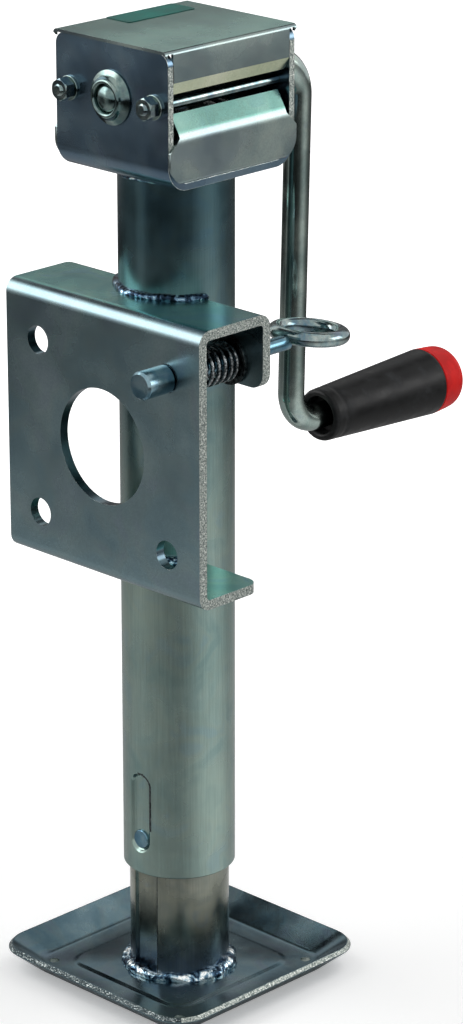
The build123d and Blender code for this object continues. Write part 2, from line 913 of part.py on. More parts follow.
def make_stop_pin():
    return rod_x(stop_pin_diameter / 2 - running / 2, stop_pin_length, 0, stop_pin_z())


def make_thrust_race_upper():
    return pipe(race_diameter / 2, screw_r + slip * 2, head_bottom_z - race_thickness, head_bottom_z)


def make_thrust_race_lower():
    return pipe(race_diameter / 2, screw_r + running / 2, collar_top_z, lower_race_top_z)


def ball_spots():
    return Pos(0, 0, ball_centre_z) * PolarLocations(ball_circle_diameter / 2, ball_count)


def make_thrust_balls():
    return Compound(children=[spot * Sphere(ball_diameter / 2) for spot in ball_spots()])


def make_ball_cage():
    middle = ball_circle_diameter / 2
    low = ball_centre_z - cage_thickness / 2
    cage = pipe(middle + cage_width / 2, middle - cage_width / 2, low, low + cage_thickness)
    return cage - [spot * Sphere(ball_diameter / 2 + slip / 2) for spot in ball_spots()]


# Crank and grip


def make_crank_handle():
    corners = [
        (0, rod_front_y, crank_axis_z),
        (0, arm_top_y, crank_axis_z),
        (0, arm_low_y, grip_z),
        (0, rod_end_y, grip_z),
    ]
    path = FilletPolyline(*corners, radius=[top_bend_radius, low_bend_radius])
    start = Plane(origin=corners[0], x_dir=(1, 0, 0), z_dir=(0, 1, 0))
    rod = sweep(start * Circle(rod_r), path=path)
    nose = rod.edges().filter_by(GeomType.CIRCLE).sort_by(Axis.Y)[0]
    rod = chamfer(nose, rod_r / 6)
    return rod - pinion_pin_bar(hub_pin_diameter / 2)


def make_grip_retainer():
    start = rod_end_y - retainer_thickness
    ring = rod_y(retainer_diameter / 2, start, rod_end_y, 0, grip_z)
    return ring - rod_y(rod_r + running / 2, start - past, rod_end_y + past, 0, grip_z)


def grip_profile():
    """The grip's outline as (radius, distance along it): a taper that swells, then eases to the cap."""
    widest = grip_length * grip_belly
    return [
        (grip_near_diameter / 2, 0),
        (grip_far_diameter / 2, widest),
        (grip_end_diameter / 2, grip_length),
    ]


def make_grip_sleeve():
    bore = rod_r + running
    mouth = grip_mouth_diameter / 2
    pocket_start = rod_end_y - retainer_thickness - retainer_gap - grip_start_y
    pocket_r = retainer_diameter / 2 + retainer_gap
    outline = grip_profile()
    inner = [
        (pocket_r, grip_length),
        (pocket_r, pocket_start),
        (bore, pocket_start),
        (bore, grip_mouth_depth),
        (mouth, grip_mouth_depth),
        (mouth, 0),
    ]
    section = make_face(Polyline(*outline, *inner, close=True))
    for x, y in (outline[0], outline[1]):
        corner = section.vertices().sort_by_distance((x, y, 0))[0]
        section = fillet(corner, grip_edge_radius)
    grip = revolve(Plane.XZ * section, Axis.Z)
    return along_y(0, grip_start_y, grip_z) * grip


def make_grip_cap():
    rim = grip_end_diameter / 2
    spigot = retainer_diameter / 2 + retainer_gap - slip / 2
    inner = spigot - cap_wall
    cap_inner_length = cap_length - cap_wall
    section = make_face(
        Polyline(
            (0, cap_length),
            (rim, cap_length),
            (rim, 0),
            (spigot, 0),
            (spigot, -cap_spigot_length),
            (inner, -cap_spigot_length),
            (inner, cap_inner_length),
            (0, cap_inner_length),
            close=True,
        )
    )
    corner = section.vertices().sort_by_distance((rim, cap_length, 0))[0]
    section = fillet(corner, cap_edge_radius)
    cap = revolve(Plane.XZ * section, Axis.Z)
    return along_y(0, grip_start_y + grip_length, grip_z) * cap


makers = {
    "outer_tube": make_outer_tube,
    "guide_key": make_guide_key,
    "inner_tube": make_inner_tube,
    "lead_nut": make_lead_nut,
    "foot_plate": make_foot_plate,
    "foot_weld": make_foot_weld,
    "mount_bracket": make_mount_bracket,
    "bracket_weld_top": make_bracket_weld_top,
    "bracket_weld_bottom": make_bracket_weld_bottom,
    "lock_pin": make_lock_pin,
    "pull_ring": make_pull_ring,
    "pin_collar": make_pin_collar,
    "collar_pin": make_collar_pin,
    "spring_seat": make_spring_seat,
    "lock_spring": make_lock_spring,
    "gear_housing": make_gear_housing,
    "housing_weld": make_housing_weld,
    "lower_cover": make_lower_cover,
    "lid": make_lid,
    "lid_label": make_lid_label,
    "cover_bolts": make_cover_bolts,
    "cover_nuts": make_cover_nuts,
    "cover_washers": make_cover_washers,
    "front_bush": make_front_bush,
    "rear_bush": make_rear_bush,
    "screw_bush": make_screw_bush,
    "bevel_gear": make_bevel_gear,
    "gear_pin": make_gear_pin,
    "bevel_pinion": make_bevel_pinion,
    "pinion_pin": make_pinion_pin,
    "pinion_washer": make_pinion_washer,
    "lead_screw": make_lead_screw,
    "end_stop": make_end_stop,
    "stop_pin": make_stop_pin,
    "thrust_race_upper": make_thrust_race_upper,
    "thrust_race_lower": make_thrust_race_lower,
    "thrust_balls": make_thrust_balls,
    "ball_cage": make_ball_cage,
    "crank_handle": make_crank_handle,
    "grip_retainer": make_grip_retainer,
    "grip_sleeve": make_grip_sleeve,
    "grip_cap": make_grip_cap,
}

os.makedirs("parts", exist_ok=True)
for node, make in makers.items():
    export_step(make(), f"parts/{node}.step")
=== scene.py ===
# %% [markdown]
# # A trailer prop stand
#
# The real object is a screw jack leg for a trailer: a steel tube with a gear head on top, a leg that winds out of
# it, a pressed foot, a folded mount plate with a spring-loaded lock pin, and a bent crank with a rubber grip.
# Nearly every visible piece is steel sheet, bar or tube that was zinc plated after welding.
#
# The fixed frame already holds each piece at its real size. It could be given materials and left at that, but
# the eye knows pressed and welded steel by things that a plain solid lacks: soft pressed edges, a worn line on
# each bend, grainy cut edges and rippled beads. So this lesson keeps the frame's places and works out a better
# surface for each piece that shows.

import json
from collections import namedtuple
from math import cos, pi, radians, sin

import bmesh
import bpy
import numpy as np
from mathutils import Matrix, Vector


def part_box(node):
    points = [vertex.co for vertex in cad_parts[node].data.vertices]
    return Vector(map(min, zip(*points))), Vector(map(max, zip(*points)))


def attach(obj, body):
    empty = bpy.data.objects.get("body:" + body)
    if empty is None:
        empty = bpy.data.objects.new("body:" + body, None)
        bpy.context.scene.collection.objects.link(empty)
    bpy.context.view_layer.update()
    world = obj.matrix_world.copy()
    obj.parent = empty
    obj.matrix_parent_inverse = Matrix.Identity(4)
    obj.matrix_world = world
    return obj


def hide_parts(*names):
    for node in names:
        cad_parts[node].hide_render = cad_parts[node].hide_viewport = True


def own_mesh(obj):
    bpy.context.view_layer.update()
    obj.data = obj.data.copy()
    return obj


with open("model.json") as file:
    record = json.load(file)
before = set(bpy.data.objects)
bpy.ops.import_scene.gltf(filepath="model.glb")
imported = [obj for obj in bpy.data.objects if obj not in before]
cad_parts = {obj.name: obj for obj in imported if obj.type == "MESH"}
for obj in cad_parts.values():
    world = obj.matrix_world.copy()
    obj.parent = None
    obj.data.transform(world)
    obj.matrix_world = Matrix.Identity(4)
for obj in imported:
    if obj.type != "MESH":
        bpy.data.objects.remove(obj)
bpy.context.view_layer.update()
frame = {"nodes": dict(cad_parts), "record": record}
MM = 0.001
print("nodes in the frame:", len(frame["nodes"]))

# %% [markdown]
# ## Camera
#
# The photograph was taken from the right of the mount plate, a little above the middle of the stand, through a
# long lens. The upright edges of the tube stay almost parallel in it, and that is what a long lens does. The
# camera is placed by two angles and a distance from the point that it looks at, because those three are easy to
# compare with the picture.

# %% The camera's place and lens
view_azimuth = radians(44.43)
view_height = radians(19.61)
view_distance = 1908.3 * MM
look_at = Vector((19.1, 18.7, 249.4)) * MM


def put_in_scene(name, data):
    """A new object that holds the data, linked to the scene."""
    thing = bpy.data.objects.new(name, data)
    bpy.context.scene.collection.objects.link(thing)
    return thing


camera_data = bpy.data.cameras.new("camera")
camera_data.lens = 135
camera_data.sensor_width = 36
camera = put_in_scene("camera", camera_data)
level = cos(view_height)
toward_camera = Vector((sin(view_azimuth) * level, -cos(view_azimuth) * level, sin(view_height)))
camera.location = look_at + toward_camera * view_distance
camera.rotation_euler = (-toward_camera).to_track_quat("-Z", "Y").to_euler()
bpy.context.scene.camera = camera
print("camera at", [round(c, 3) for c in camera.location])

# %% [markdown]
# ## Small tools for materials
#
# A material here is a tree of nodes. One small function adds a node, sets its fields and gives each input a value
# or a link, so that a tree reads from top to bottom. Colours are written as the hex values that a picture editor
# shows, and one function turns them to the linear values that light needs. A pattern's scale is always worked out
# from the real width of one of its features.

# %% Colour and node helpers
MIXED_COLOUR = 2


def paint(hex_colour):
    """An sRGB hex colour as linear red, green, blue and alpha: the sRGB curve, undone channel by channel."""
    coded = np.array([int(hex_colour[i : i + 2], 16) for i in (1, 3, 5)]) / 255
    linear = np.where(coded <= 0.04045, coded / 12.92, ((coded + 0.055) / 1.055) ** 2.4)
    return (*linear.tolist(), 1.0)


def per_metre(millimetres):
    """The texture scale at which one feature of a pattern is that many millimetres wide."""
    return 1.0 / (millimetres * MM)


def add(tree, node, inputs=(), out=0, stops=(), **fields):
    """Adds a node, or takes one that is there, and returns one of its outputs.

    inputs maps a socket's name or identifier to a value, or to the output that feeds it. stops are the (place,
    hex colour) pairs of a colour ramp.
    """
    if isinstance(node, str):
        node = tree.nodes.new("ShaderNode" + node)
    for name, value in fields.items():
        setattr(node, name, value)
    for name, value in dict(inputs).items():
        socket = next(s for s in node.inputs if name in (s.identifier, s.name))
        if isinstance(value, bpy.types.NodeSocket):
            tree.links.new(value, socket)
        else:
            socket.default_value = value
    for number, (place, colour) in enumerate(stops):
        marks = node.color_ramp.elements
        mark = marks[number] if number < len(marks) else marks.new(place)
        mark.position, mark.color = place, paint(colour)
    return node.outputs[out] if node.outputs else None


def new_finish(name, **values):
    """An empty material with one surface shader, whose plain values are set on its own sockets."""
    material = bpy.data.materials.new(name)
    material.use_nodes = True
    tree = material.node_tree
    shader = tree.nodes["Principled BSDF"]
    add(tree, shader, {label.replace("_", " "): value for label, value in values.items()})
    return material, tree, shader, add(tree, "TexCoord", out="Object")


# %% [markdown]
# ## Zinc plate
#
# Zinc plate with a clear passivate is a thin bright metal layer on the rolled steel below. It gives the eye
# three things. It reflects as a soft mirror, greyer than chrome. The passivate is so thin that it tints the
# metal in slow, faint clouds of blue, green and straw. And the steel shows through: as fine streaks along a drawn
# tube, and as a fine speckle on rolled sheet. So the colour is one grey with a weak veil of tints, and the marks
# shift it by a few hundredths only. A mirror needs no more, because the room brings the light and dark. The marks
# are drawn 0.8 mm wide, several times their real width, so that they show.

# %% A zinc finish
mark_mm = 0.8
streak_stretch = 40
mark_shade = "#efefef"
streak_height = 0.004 * MM
speckle_height = 0.01 * MM


def zinc_plate(name, shades, film, film_share, cloud_mm, shine=(0.2, 0.32), drawn_along=None, height_tint=None):
    """Slow clouds of shades, a faint veil of the film's tints over them, and fine marks that darken it a little.

    height_tint is (tint, from height in mm, to height in mm): a tint multiplied in, from none at the first height to
    full at the second.
    """
    material, tree, shader, place = new_finish(name, Metallic=1.0)
    mixed = {"out": MIXED_COLOUR, "data_type": "RGBA"}
    cloud_shape = {"Vector": place, "Scale": per_metre(cloud_mm), "Detail": 3.0, "Roughness": 0.55}
    clouds = add(tree, "TexNoise", cloud_shape)
    ground = add(tree, "ValToRGB", {"Fac": clouds}, stops=zip((0.36, 0.5, 0.64), shades))
    veil_shape = {"Vector": place, "Scale": per_metre(cloud_mm * 0.6), "Detail": 2.0, "Distortion": 1.2}
    veil = add(tree, "TexNoise", veil_shape)
    tints = add(tree, "ValToRGB", {"Fac": veil}, stops=zip((0.36, 0.46, 0.55, 0.66), film))
    tinted = add(tree, "Mix", {"Factor_Float": film_share, "A_Color": ground, "B_Color": tints}, **mixed)
    scale = [per_metre(mark_mm * (streak_stretch if axis == drawn_along else 1)) for axis in "xyz"]
    along = add(tree, "Mapping", {"Vector": place, "Scale": scale})
    fine = add(tree, "TexNoise", {"Vector": along, "Scale": 1.0, "Detail": 3.0, "Roughness": 0.6})
    lines = add(tree, "ValToRGB", {"Fac": fine}, stops=[(0.34, mark_shade), (0.62, "#ffffff")])
    marked = {"Factor_Float": 1.0, "A_Color": tinted, "B_Color": lines}
    colour = add(tree, "Mix", marked, blend_type="MULTIPLY", **mixed)
    if height_tint:
        tint, low_mm, high_mm = height_tint
        height = add(tree, "SeparateXYZ", {"Vector": place}, out="Z")
        share = add(tree, "MapRange", {"Value": height, "From Min": low_mm * MM, "From Max": high_mm * MM})
        height_tinted = {"Factor_Float": share, "A_Color": colour, "B_Color": paint(tint)}
        colour = add(tree, "Mix", height_tinted, blend_type="MULTIPLY", **mixed)
    gloss = {"Value": clouds, "From Min": 0.35, "From Max": 0.65, "To Min": shine[0], "To Max": shine[1]}
    relief = {"Height": fine, "Distance": streak_height if drawn_along else speckle_height, "Strength": 0.5}
    rough, normal = add(tree, "MapRange", gloss), add(tree, "Bump", relief)
    add(tree, shader, {"Base Color": colour, "Roughness": rough, "Normal": normal})
    return material


# %% The zinc finishes
green_film = ("#6b8f8d", "#86a8a0", "#93a69b", "#849aa2")
blue_film = ("#5a7f96", "#7394a2", "#86999c", "#8088a0")
teal_film = ("#3f8488", "#5d9c96", "#7ba596", "#5f8fa6")
tube_film = ("#789492", "#92a8a0", "#96a498", "#859fa6")
leg_film = ("#76807a", "#8c9184", "#979a88", "#7a8a90")
straw_film = ("#a9bda4", "#c3ccb0", "#d6d8bc", "#bccab8")
drawn_shine = (0.2, 0.32)
zinc = {
    piece: zinc_plate("zinc_plate_" + piece, *look)
    for piece, *look in (
        ("drawn_tube", ("#7b938f", "#8a9f9a", "#98aba2"), tube_film, 0.3, 42, drawn_shine, "z", ("#a3bccf", 250, 400)),
        ("drawn_leg", ("#646963", "#7b7f76", "#90948a"), leg_film, 0.25, 24, drawn_shine, "z", ("#bccaec", 30, 14)),
        ("rolled_sheet", ("#72898f", "#7d9397", "#899c9e"), blue_film, 0.2, 60),
        ("tinted_flange", ("#4a8588", "#5c9592", "#74a59c"), teal_film, 0.35, 40),
        ("head_sheet", ("#5e7386", "#6a7f90", "#788c97"), blue_film, 0.15, 48),
        ("cover_sheet", ("#7f8d92", "#8d9a9b", "#9ba6a2"), green_film, 0.15, 40),
        ("lid_top", ("#6c9c93", "#78a69c", "#86b0a5"), green_film, 0.2, 40),
        ("pale_lip", ("#b7c2a4", "#c9d0b4", "#d8dcc4"), straw_film, 0.2, 30),
        ("pressed_foot", ("#41555d", "#4e636a", "#5f7277"), blue_film, 0.15, 26, (0.16, 0.28)),
        ("drawn_bar", ("#8b9995", "#9fada8", "#b6c2ba"), green_film, 0.2, 16, (0.08, 0.17)),
        ("turned_pin", ("#456a7c", "#608697", "#8fa9b1"), blue_film, 0.2, 12, (0.14, 0.24)),
        ("pressed_bush", ("#46585c", "#5f7172", "#8b9b96"), green_film, 0.2, 8, (0.1, 0.2)),
        ("bent_ring", ("#5c6f78", "#84948f", "#b4bdb4"), blue_film, 0.35, 7, (0.08, 0.18)),
    )
}
print("zinc finishes:", len(zinc))

# %% [markdown]
# ## Finishes that one noise drives
#
# On every other surface of the stand the marks shift colour, gloss and height together, because they are one
# thing: a torn grain, a rubbed patch, a heat patch, a tool mark or a flow mark. So one function serves them all.
# It takes the width of a mark, the shades from its low to its high parts, and how far it shifts the gloss. The
# same noise, or a finer grain, is the bump.

# %% A finish from one noise
def marked_finish(name, mark_mm, shape, places, shades, gloss=None, grain=None, relief=None, **values):
    """One noise picks the colour and shifts the gloss, and it or a finer grain lifts the surface.

    shape is the noise's (detail, roughness, distortion), gloss is (noise from, to, roughness from, to), grain is
    (width in mm, detail) and relief is (height in mm, strength).
    """
    material, tree, shader, place = new_finish(name, **values)
    noise = dict(zip(("Detail", "Roughness", "Distortion"), shape))
    marks = add(tree, "TexNoise", {"Vector": place, "Scale": per_metre(mark_mm), **noise})
    look = {"Base Color": add(tree, "ValToRGB", {"Fac": marks}, stops=zip(places, shades))}
    if gloss:
        limits = dict(zip(("From Min", "From Max", "To Min", "To Max"), gloss))
        look["Roughness"] = add(tree, "MapRange", {"Value": marks, **limits})
    if grain:
        marks = add(tree, "TexNoise", {"Vector": place, "Scale": per_metre(grain[0]), "Detail": grain[1]})
    if relief:
        height_mm, strength = relief
        lifted = {"Height": marks, "Distance": height_mm * MM, "Strength": strength}
        look["Normal"] = add(tree, "Bump", lifted)
    add(tree, shader, look)
    return material


# %% [markdown]
# ## Cut edges, worn edges and welds
#
# A sheet that was sheared or punched has a broken, grainy edge: half of its thickness is torn, and the plating
# on it sparkles. That is speckle at the size of the steel's torn grain, drawn about twice its real 0.4 mm so that
# it shows, with a real bump, so that each speck catches light on its own. On bends and corners the plating is
# rubbed brighter than elsewhere, which is the same zinc in a lighter colour. That lighter colour is also a painted
# highlight on the softened edges, and painted light on the walls of the foot's nail holes.
#
# A wire weld is lumpy after plating, mostly dark blue from the heat, and shiny on top of each lump. The lumps are
# real shape in this lesson; the material brings the heat colours and a fine grain.

# %% Edges and welds
torn_grain_mm = 0.9
rub_mm = 3.0
heat_patch_mm = 4.5
weld_grain_mm = 0.8


def sheared_edge(name, *specks):
    """A torn sheet edge: pale and dark specks with a rough bump."""
    look = {"relief": (0.3, 0.9), "Metallic": 0.8, "Roughness": 0.45}
    return marked_finish(name, torn_grain_mm, (4.0, 0.75), (0.36, 0.46, 0.55, 0.64), specks, **look)


def weld_finish(name, *places):
    """Plated weld metal: dark patches of heat colour with bright spots, shiny, with a fine bump."""
    patches = ("#0f161d", "#2a3d50", "#66859a", "#b4cad4", "#f6faf9")
    look = {"grain": (weld_grain_mm, 3.0), "relief": (0.25, 0.7), "Metallic": 1.0, "Roughness": 0.2}
    return marked_finish(name, heat_patch_mm, (4.0, 0.6, 0.8), places, patches, **look)


cut_steel = sheared_edge("sheared_zinc_edge", "#3f4a49", "#7d8683", "#a9b0aa", "#eef1ea")
# A dark copy of the torn edge: painted shade under the foot's rim.
shaded_cut_steel = sheared_edge("sheared_zinc_edge_painted_shade", "#141b1e", "#2c373b", "#4d5a5c", "#dfe6e4")
rub_and_highlight = ((0.35, 0.5, 0.65), ("#8d9a98", "#b7c1be", "#dfe4e1"), (0.3, 0.7, 0.16, 0.32))
# The lighter edge finish is rubbed plating and also a painted highlight on softened edges.
worn_edge_and_highlight = marked_finish("worn_zinc_edge_and_painted_highlight", rub_mm, (3.0,), *rub_and_highlight, Metallic=1.0)
weld_metal = weld_finish("zinc_plated_weld", 0.35, 0.43, 0.49, 0.54, 0.6)
dark_weld = weld_finish("zinc_plated_weld_dark", 0.4, 0.5, 0.58, 0.65, 0.72)

# %% [markdown]
# ## The other metals
#
# The spring is bright-drawn spring steel. Gears, screw and bearing races are turned steel under a film of grease,
# so they are darker and smoother than plate. Bushes are bronze, and the balls are polished. Each has tool marks
# of its own width, drawn a few times wider than the real ones so that they show.

# %% Spring steel, machined steel, bronze and ball steel
def worked_metal(name, mark_mm, roughness, *shades):
    """A bare metal with tool marks of the width given."""
    look = {"gloss": (0.3, 0.7, roughness * 0.7, roughness * 1.3), "relief": (0.02, 0.5), "Metallic": 1.0}
    return marked_finish(name, mark_mm, (3.0,), (0.35, 0.5, 0.65), shades, **look)


spring_steel = worked_metal("drawn_spring_steel", 1.2, 0.25, "#3a3d3e", "#6a6e70", "#a5a9aa")
# Dark steel: the real colour of the spring seat and the pin collar, and painted shade in the tube's recess and the
# leg's groove.
dark_steel_and_painted_shade = worked_metal("oiled_dark_steel_and_painted_shade", 1.6, 0.3, "#1d2122", "#33393a", "#555b5b")
machined_steel = worked_metal("greased_machined_steel", 0.8, 0.3, "#4c4d4b", "#6c6e6c", "#8d8f8c")
bush_bronze = worked_metal("turned_bronze", 0.8, 0.3, "#7a5c33", "#9c7a48", "#bd9a60")
ball_steel = worked_metal("polished_ball_steel", 4.0, 0.08, "#b4b7ba", "#c6c9cb", "#d8dadc")

# %% [markdown]
# ## Rubber, red plastic and the label's film
#
# The grip is moulded rubber: black, satin, with a fine grain from the mould and paler scuffs where hands and
# gravel rubbed it. The cap is a moulded plastic, red all the way through. The label is a printed film; here its
# face stays bare. Dirt and wear dull all three, so their IOR is set a little below the clean material's. The
# mould's grain is about 0.1 mm wide and is drawn coarser, so that it shows.

# %% Rubber, plastic and film
def moulded(name, ior, flow_mm, gloss_from, gloss_to, grain_mm, grain_height_mm, *shades):
    """A moulded plastic or rubber: slow flow marks, and the mould's grain as a bump."""
    gloss = (0.35, 0.7, gloss_from, gloss_to)
    look = {"grain": (grain_mm, 2.0), "relief": (grain_height_mm, 0.5), "IOR": ior}
    return marked_finish(name, flow_mm, (4.0, 0.6), (0.4, 0.55, 0.72), shades, gloss, **look)


grip_rubber = moulded("moulded_black_rubber", 1.27, 9, 0.3, 0.52, 0.8, 0.07, "#08090a", "#0f1011", "#222426")
cap_plastic = moulded("moulded_red_plastic", 1.22, 12, 0.36, 0.5, 0.7, 0.02, "#c00f0f", "#d81614", "#e2221c")
label_film = moulded("satin_label_film", 1.25, 14, 0.42, 0.55, 0.9, 0.01, "#0f4f48", "#155e55", "#1e6b61")

# %% [markdown]
# ## Small tools for shapes
#
# Each new piece is a grid of points that a formula gives, all at once, as numpy arrays. Rows run along the piece
# and columns run across it or round it. One function joins the grid with four-sided faces and closes its ends,
# and another turns the result into an object that rides on its body.

# %% Grids to meshes
def together(*parts):
    """Coordinates broadcast against each other and stacked as points."""
    return np.stack(np.broadcast_arrays(*parts), axis=-1)


def grid_faces(rows, columns, close_rows=False, close_columns=True):
    """Four-sided faces between neighbouring points of a grid, wrapped round where it closes on itself."""
    index = np.arange(rows * columns).reshape(rows, columns)
    if close_rows:
        index = np.vstack([index, index[:1]])
    if close_columns:
        index = np.hstack([index, index[:, :1]])
    corners = (index[:-1, :-1], index[:-1, 1:], index[1:, 1:], index[1:, :-1])
    return np.stack(corners, axis=-1).reshape(-1, 4)


def skin(points, close_rows=False, close_columns=True, close_ends=False):
    """A grid's points, its four-sided faces, and fans of three-sided faces that close its first and last row."""
    rows, columns = points.shape[:2]
    vertices = points.reshape(-1, 3)
    fans = np.zeros((0, 3), int)
    if close_ends:
        ring = np.arange(columns)
        first = np.array([[0], [(rows - 1) * columns]])
        middles = np.full((2, columns), len(vertices)) + [[0], [1]]
        fans = np.stack([first + ring, first + np.roll(ring, -1), middles], axis=-1).reshape(-1, 3)
        vertices = np.vstack([vertices, points[0].mean(axis=0), points[-1].mean(axis=0)])
    return vertices, grid_faces(rows, columns, close_rows, close_columns), fans


def mesh_of(name, shells):
    """One mesh from shells of (points, faces, faces), its doubled points merged and its faces turned outwards."""
    starts = np.cumsum([0] + [len(points) for points, *_ in shells])
    faces = [kind + start for (_, *kinds), start in zip(shells, starts) for kind in kinds]
    mesh = bpy.data.meshes.new(name)
    mesh.from_pydata(np.vstack([points for points, *_ in shells]).tolist(), [], sum((f.tolist() for f in faces), []))
    work = bmesh.new()
    work.from_mesh(mesh)
    bmesh.ops.remove_doubles(work, verts=work.verts, dist=0.001 * MM)
    bmesh.ops.recalc_face_normals(work, faces=work.faces)
    work.to_mesh(mesh)
    work.free()
    return mesh


# %% Meshes to pieces
def shade(mesh, sharp_from=35):
    """Smooth shading, with an edge where two faces meet at more than sharp_from degrees."""
    mesh.polygons.foreach_set("use_smooth", np.ones(len(mesh.polygons), dtype=bool))
    mesh.set_sharp_from_angle(angle=radians(sharp_from))


def place_piece(name, mesh, body, replaces):
    """Puts a mesh into the scene as a piece that rides on a body and stands for nodes of the frame."""
    piece = put_in_scene(name, mesh)
    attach(piece, body)
    if replaces:
        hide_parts(*replaces)
    return piece


def make_piece(name, shells, finish, body, replaces=(), sharp_from=35):
    """One object from one or more shells, with one finish."""
    mesh = mesh_of(name, shells)
    shade(mesh, sharp_from)
    mesh.materials.append(finish)
    print(f"{name}: {len(mesh.vertices)} points, {len(mesh.polygons)} faces")
    return place_piece(name, mesh, body, replaces)


# %% A finish for chosen faces, and a node's extent
Faces = namedtuple("Faces", "x y z nx ny nz area")


def give_finish(mesh, finish, chosen):
    """Adds a finish and gives it to the faces that chosen picks from their centres, normals and areas."""
    count = len(mesh.polygons)
    centres, normals, areas = np.zeros(count * 3), np.zeros(count * 3), np.zeros(count)
    index = np.zeros(count, dtype=np.int32)
    for field, values in (("center", centres), ("normal", normals), ("area", areas), ("material_index", index)):
        mesh.polygons.foreach_get(field, values)
    picked = chosen(Faces(*centres.reshape(-1, 3).T, *normals.reshape(-1, 3).T, areas))
    mesh.materials.append(finish)
    index[picked] = len(mesh.materials) - 1
    mesh.polygons.foreach_set("material_index", index)
    print(f"{mesh.name}: {picked.sum()} faces get {finish.name}")


def extent(node):
    """A node's lowest and highest corner, as arrays."""
    low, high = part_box(node)
    return np.array(low), np.array(high)


# %% [markdown]
# ## Turned pieces and profiles
#
# Much of a jack is turned or drawn round an axis. Its outline is a line of (radius, place along the axis)
# points, and turning it is one formula: each point of the outline is carried round a circle of its radius.
# Rounded corners are arcs in the outline, so the highlight on an edge is as wide as the real rounding.

# %% Outlines and turning
def circle(columns):
    """That many angles round a full turn."""
    return np.linspace(0, 2 * pi, columns, endpoint=False)


def arc(centre, radius, start, end, count=7):
    """Points on an arc, from one angle to another in degrees, as (across, along) pairs."""
    angle = np.radians(np.linspace(start, end, count))
    return np.array(centre) + radius * together(np.cos(angle), np.sin(angle))


def turned(outline, centre, axis="y", columns=96):
    """An outline of (radius, along) turned about an axis: across = radius times (cos a, sin a), along kept."""
    outline = np.asarray(outline, float)
    radius, along = outline[:, :1], outline[:, 1:]
    first, second = radius * np.cos(circle(columns)), radius * np.sin(circle(columns))
    order = {"y": (first, along, second), "z": (first, second, along)}[axis]
    return together(*order) + np.asarray(centre, float)


def unit(vectors):
    """Vectors divided by their own lengths."""
    return vectors / np.linalg.norm(vectors, axis=-1, keepdims=True)


def round_corners(corners, radii, count=6):
    """A line through corner points, each inner corner replaced by an arc of its radius."""
    corners = np.asarray(corners, float)
    line = [corners[:1]]
    for before, corner, after, radius in zip(corners, corners[1:], corners[2:], radii):
        to_before, to_after = unit(before - corner), unit(after - corner)
        half_angle = np.arccos(np.clip(to_before @ to_after, -1, 1)) / 2
        middle = corner + unit(to_before + to_after) * radius / np.sin(half_angle)
        start = corner + to_before * radius / np.tan(half_angle) - middle
        end = corner + to_after * radius / np.tan(half_angle) - middle
        turn = np.arccos(np.clip(start @ end / radius**2, -1, 1))
        share = np.linspace(0, 1, count)[:, None]
        line.append(middle + (np.sin((1 - share) * turn) * start + np.sin(share * turn) * end) / np.sin(turn))
    line.append(corners[-1:])
    return np.vstack(line)


# %% Steps, gathered places and tubes
def smooth_step(value, start, end):
    """Rises from 0 to 1 between start and end, level at both."""
    share = np.clip((value - start) / (end - start), 0, 1)
    return share * share * (3 - 2 * share)


def gathered(low, high, middle_low, middle_high, outside, inside):
    """Places from low to high: a few outside the middle stretch and many inside it."""
    return np.concatenate([
        np.linspace(low, middle_low, outside, endpoint=False),
        np.linspace(middle_low, middle_high, inside, endpoint=False),
        np.linspace(middle_high, high, outside),
    ])


def tube_points(angle, radius, height):
    """Round a tube whose angle starts at its front: x = radius sin(angle), y = -radius cos(angle)."""
    return together(radius * np.sin(angle), -radius * np.cos(angle), height)


# %% [markdown]
# ## The outer tube
#
# The outer tube is drawn steel tube. Near its foot a long oblong is pressed inwards, with a round plug at the
# oblong's lower end that runs in the leg's groove. In the frame the oblong is cut with sharp edges. A press
# draws the metal in smoothly, so here the tube's radius is a formula: it drops by the pressed depth where the
# distance to the oblong's outline, measured on the unrolled tube, falls below zero, along a smooth step. A dark
# line of painted shade runs along the steep side of the pressing, and that line is a finish of its own.

# %% The outer tube's sizes
tube_low, tube_high = extent("outer_tube")
tube_radius = (tube_high[0] - tube_low[0]) / 2
tube_wall = 2.4 * MM
tube_edge = 0.5 * MM
key_low, key_high = extent("guide_key")
recess_half_width = 6.3 * MM
recess_length = 42.0 * MM
recess_depth = 1.9 * MM
press_outside = 0.9 * MM
press_inside = 1.3 * MM
dark_inside = 1.15 * MM
dark_outside = 1.5 * MM
dark_left = 1.0 * MM
recess_low = (key_low[2] + key_high[2]) / 2 - recess_half_width
recess_high = recess_low + recess_length


# %% The pressed recess
def from_recess(angle, height):
    """Distance from the oblong's outline on the unrolled tube, below zero inside it."""
    along = np.clip(height, recess_low + recess_half_width, recess_high - recess_half_width)
    return np.hypot(tube_radius * angle, height - along) - recess_half_width


def pressed_depth(angle, height):
    """How deep the oblong is pressed at an angle from the front and a height."""
    return recess_depth * smooth_step(-from_recess(angle, height), -press_outside, press_inside)


def recess_shadow(faces):
    """The strip of faces along the recess's edge, from its top down its right side, that gets painted shade."""
    angle = np.arctan2(faces.x, -faces.y)
    distance = from_recess(angle, faces.z)
    on_the_edge = (distance > -dark_inside) & (distance < dark_outside) & (faces.y < 0)
    clear_of_key = faces.z > recess_low + 2 * recess_half_width
    return on_the_edge & clear_of_key & (tube_radius * angle > -dark_left)


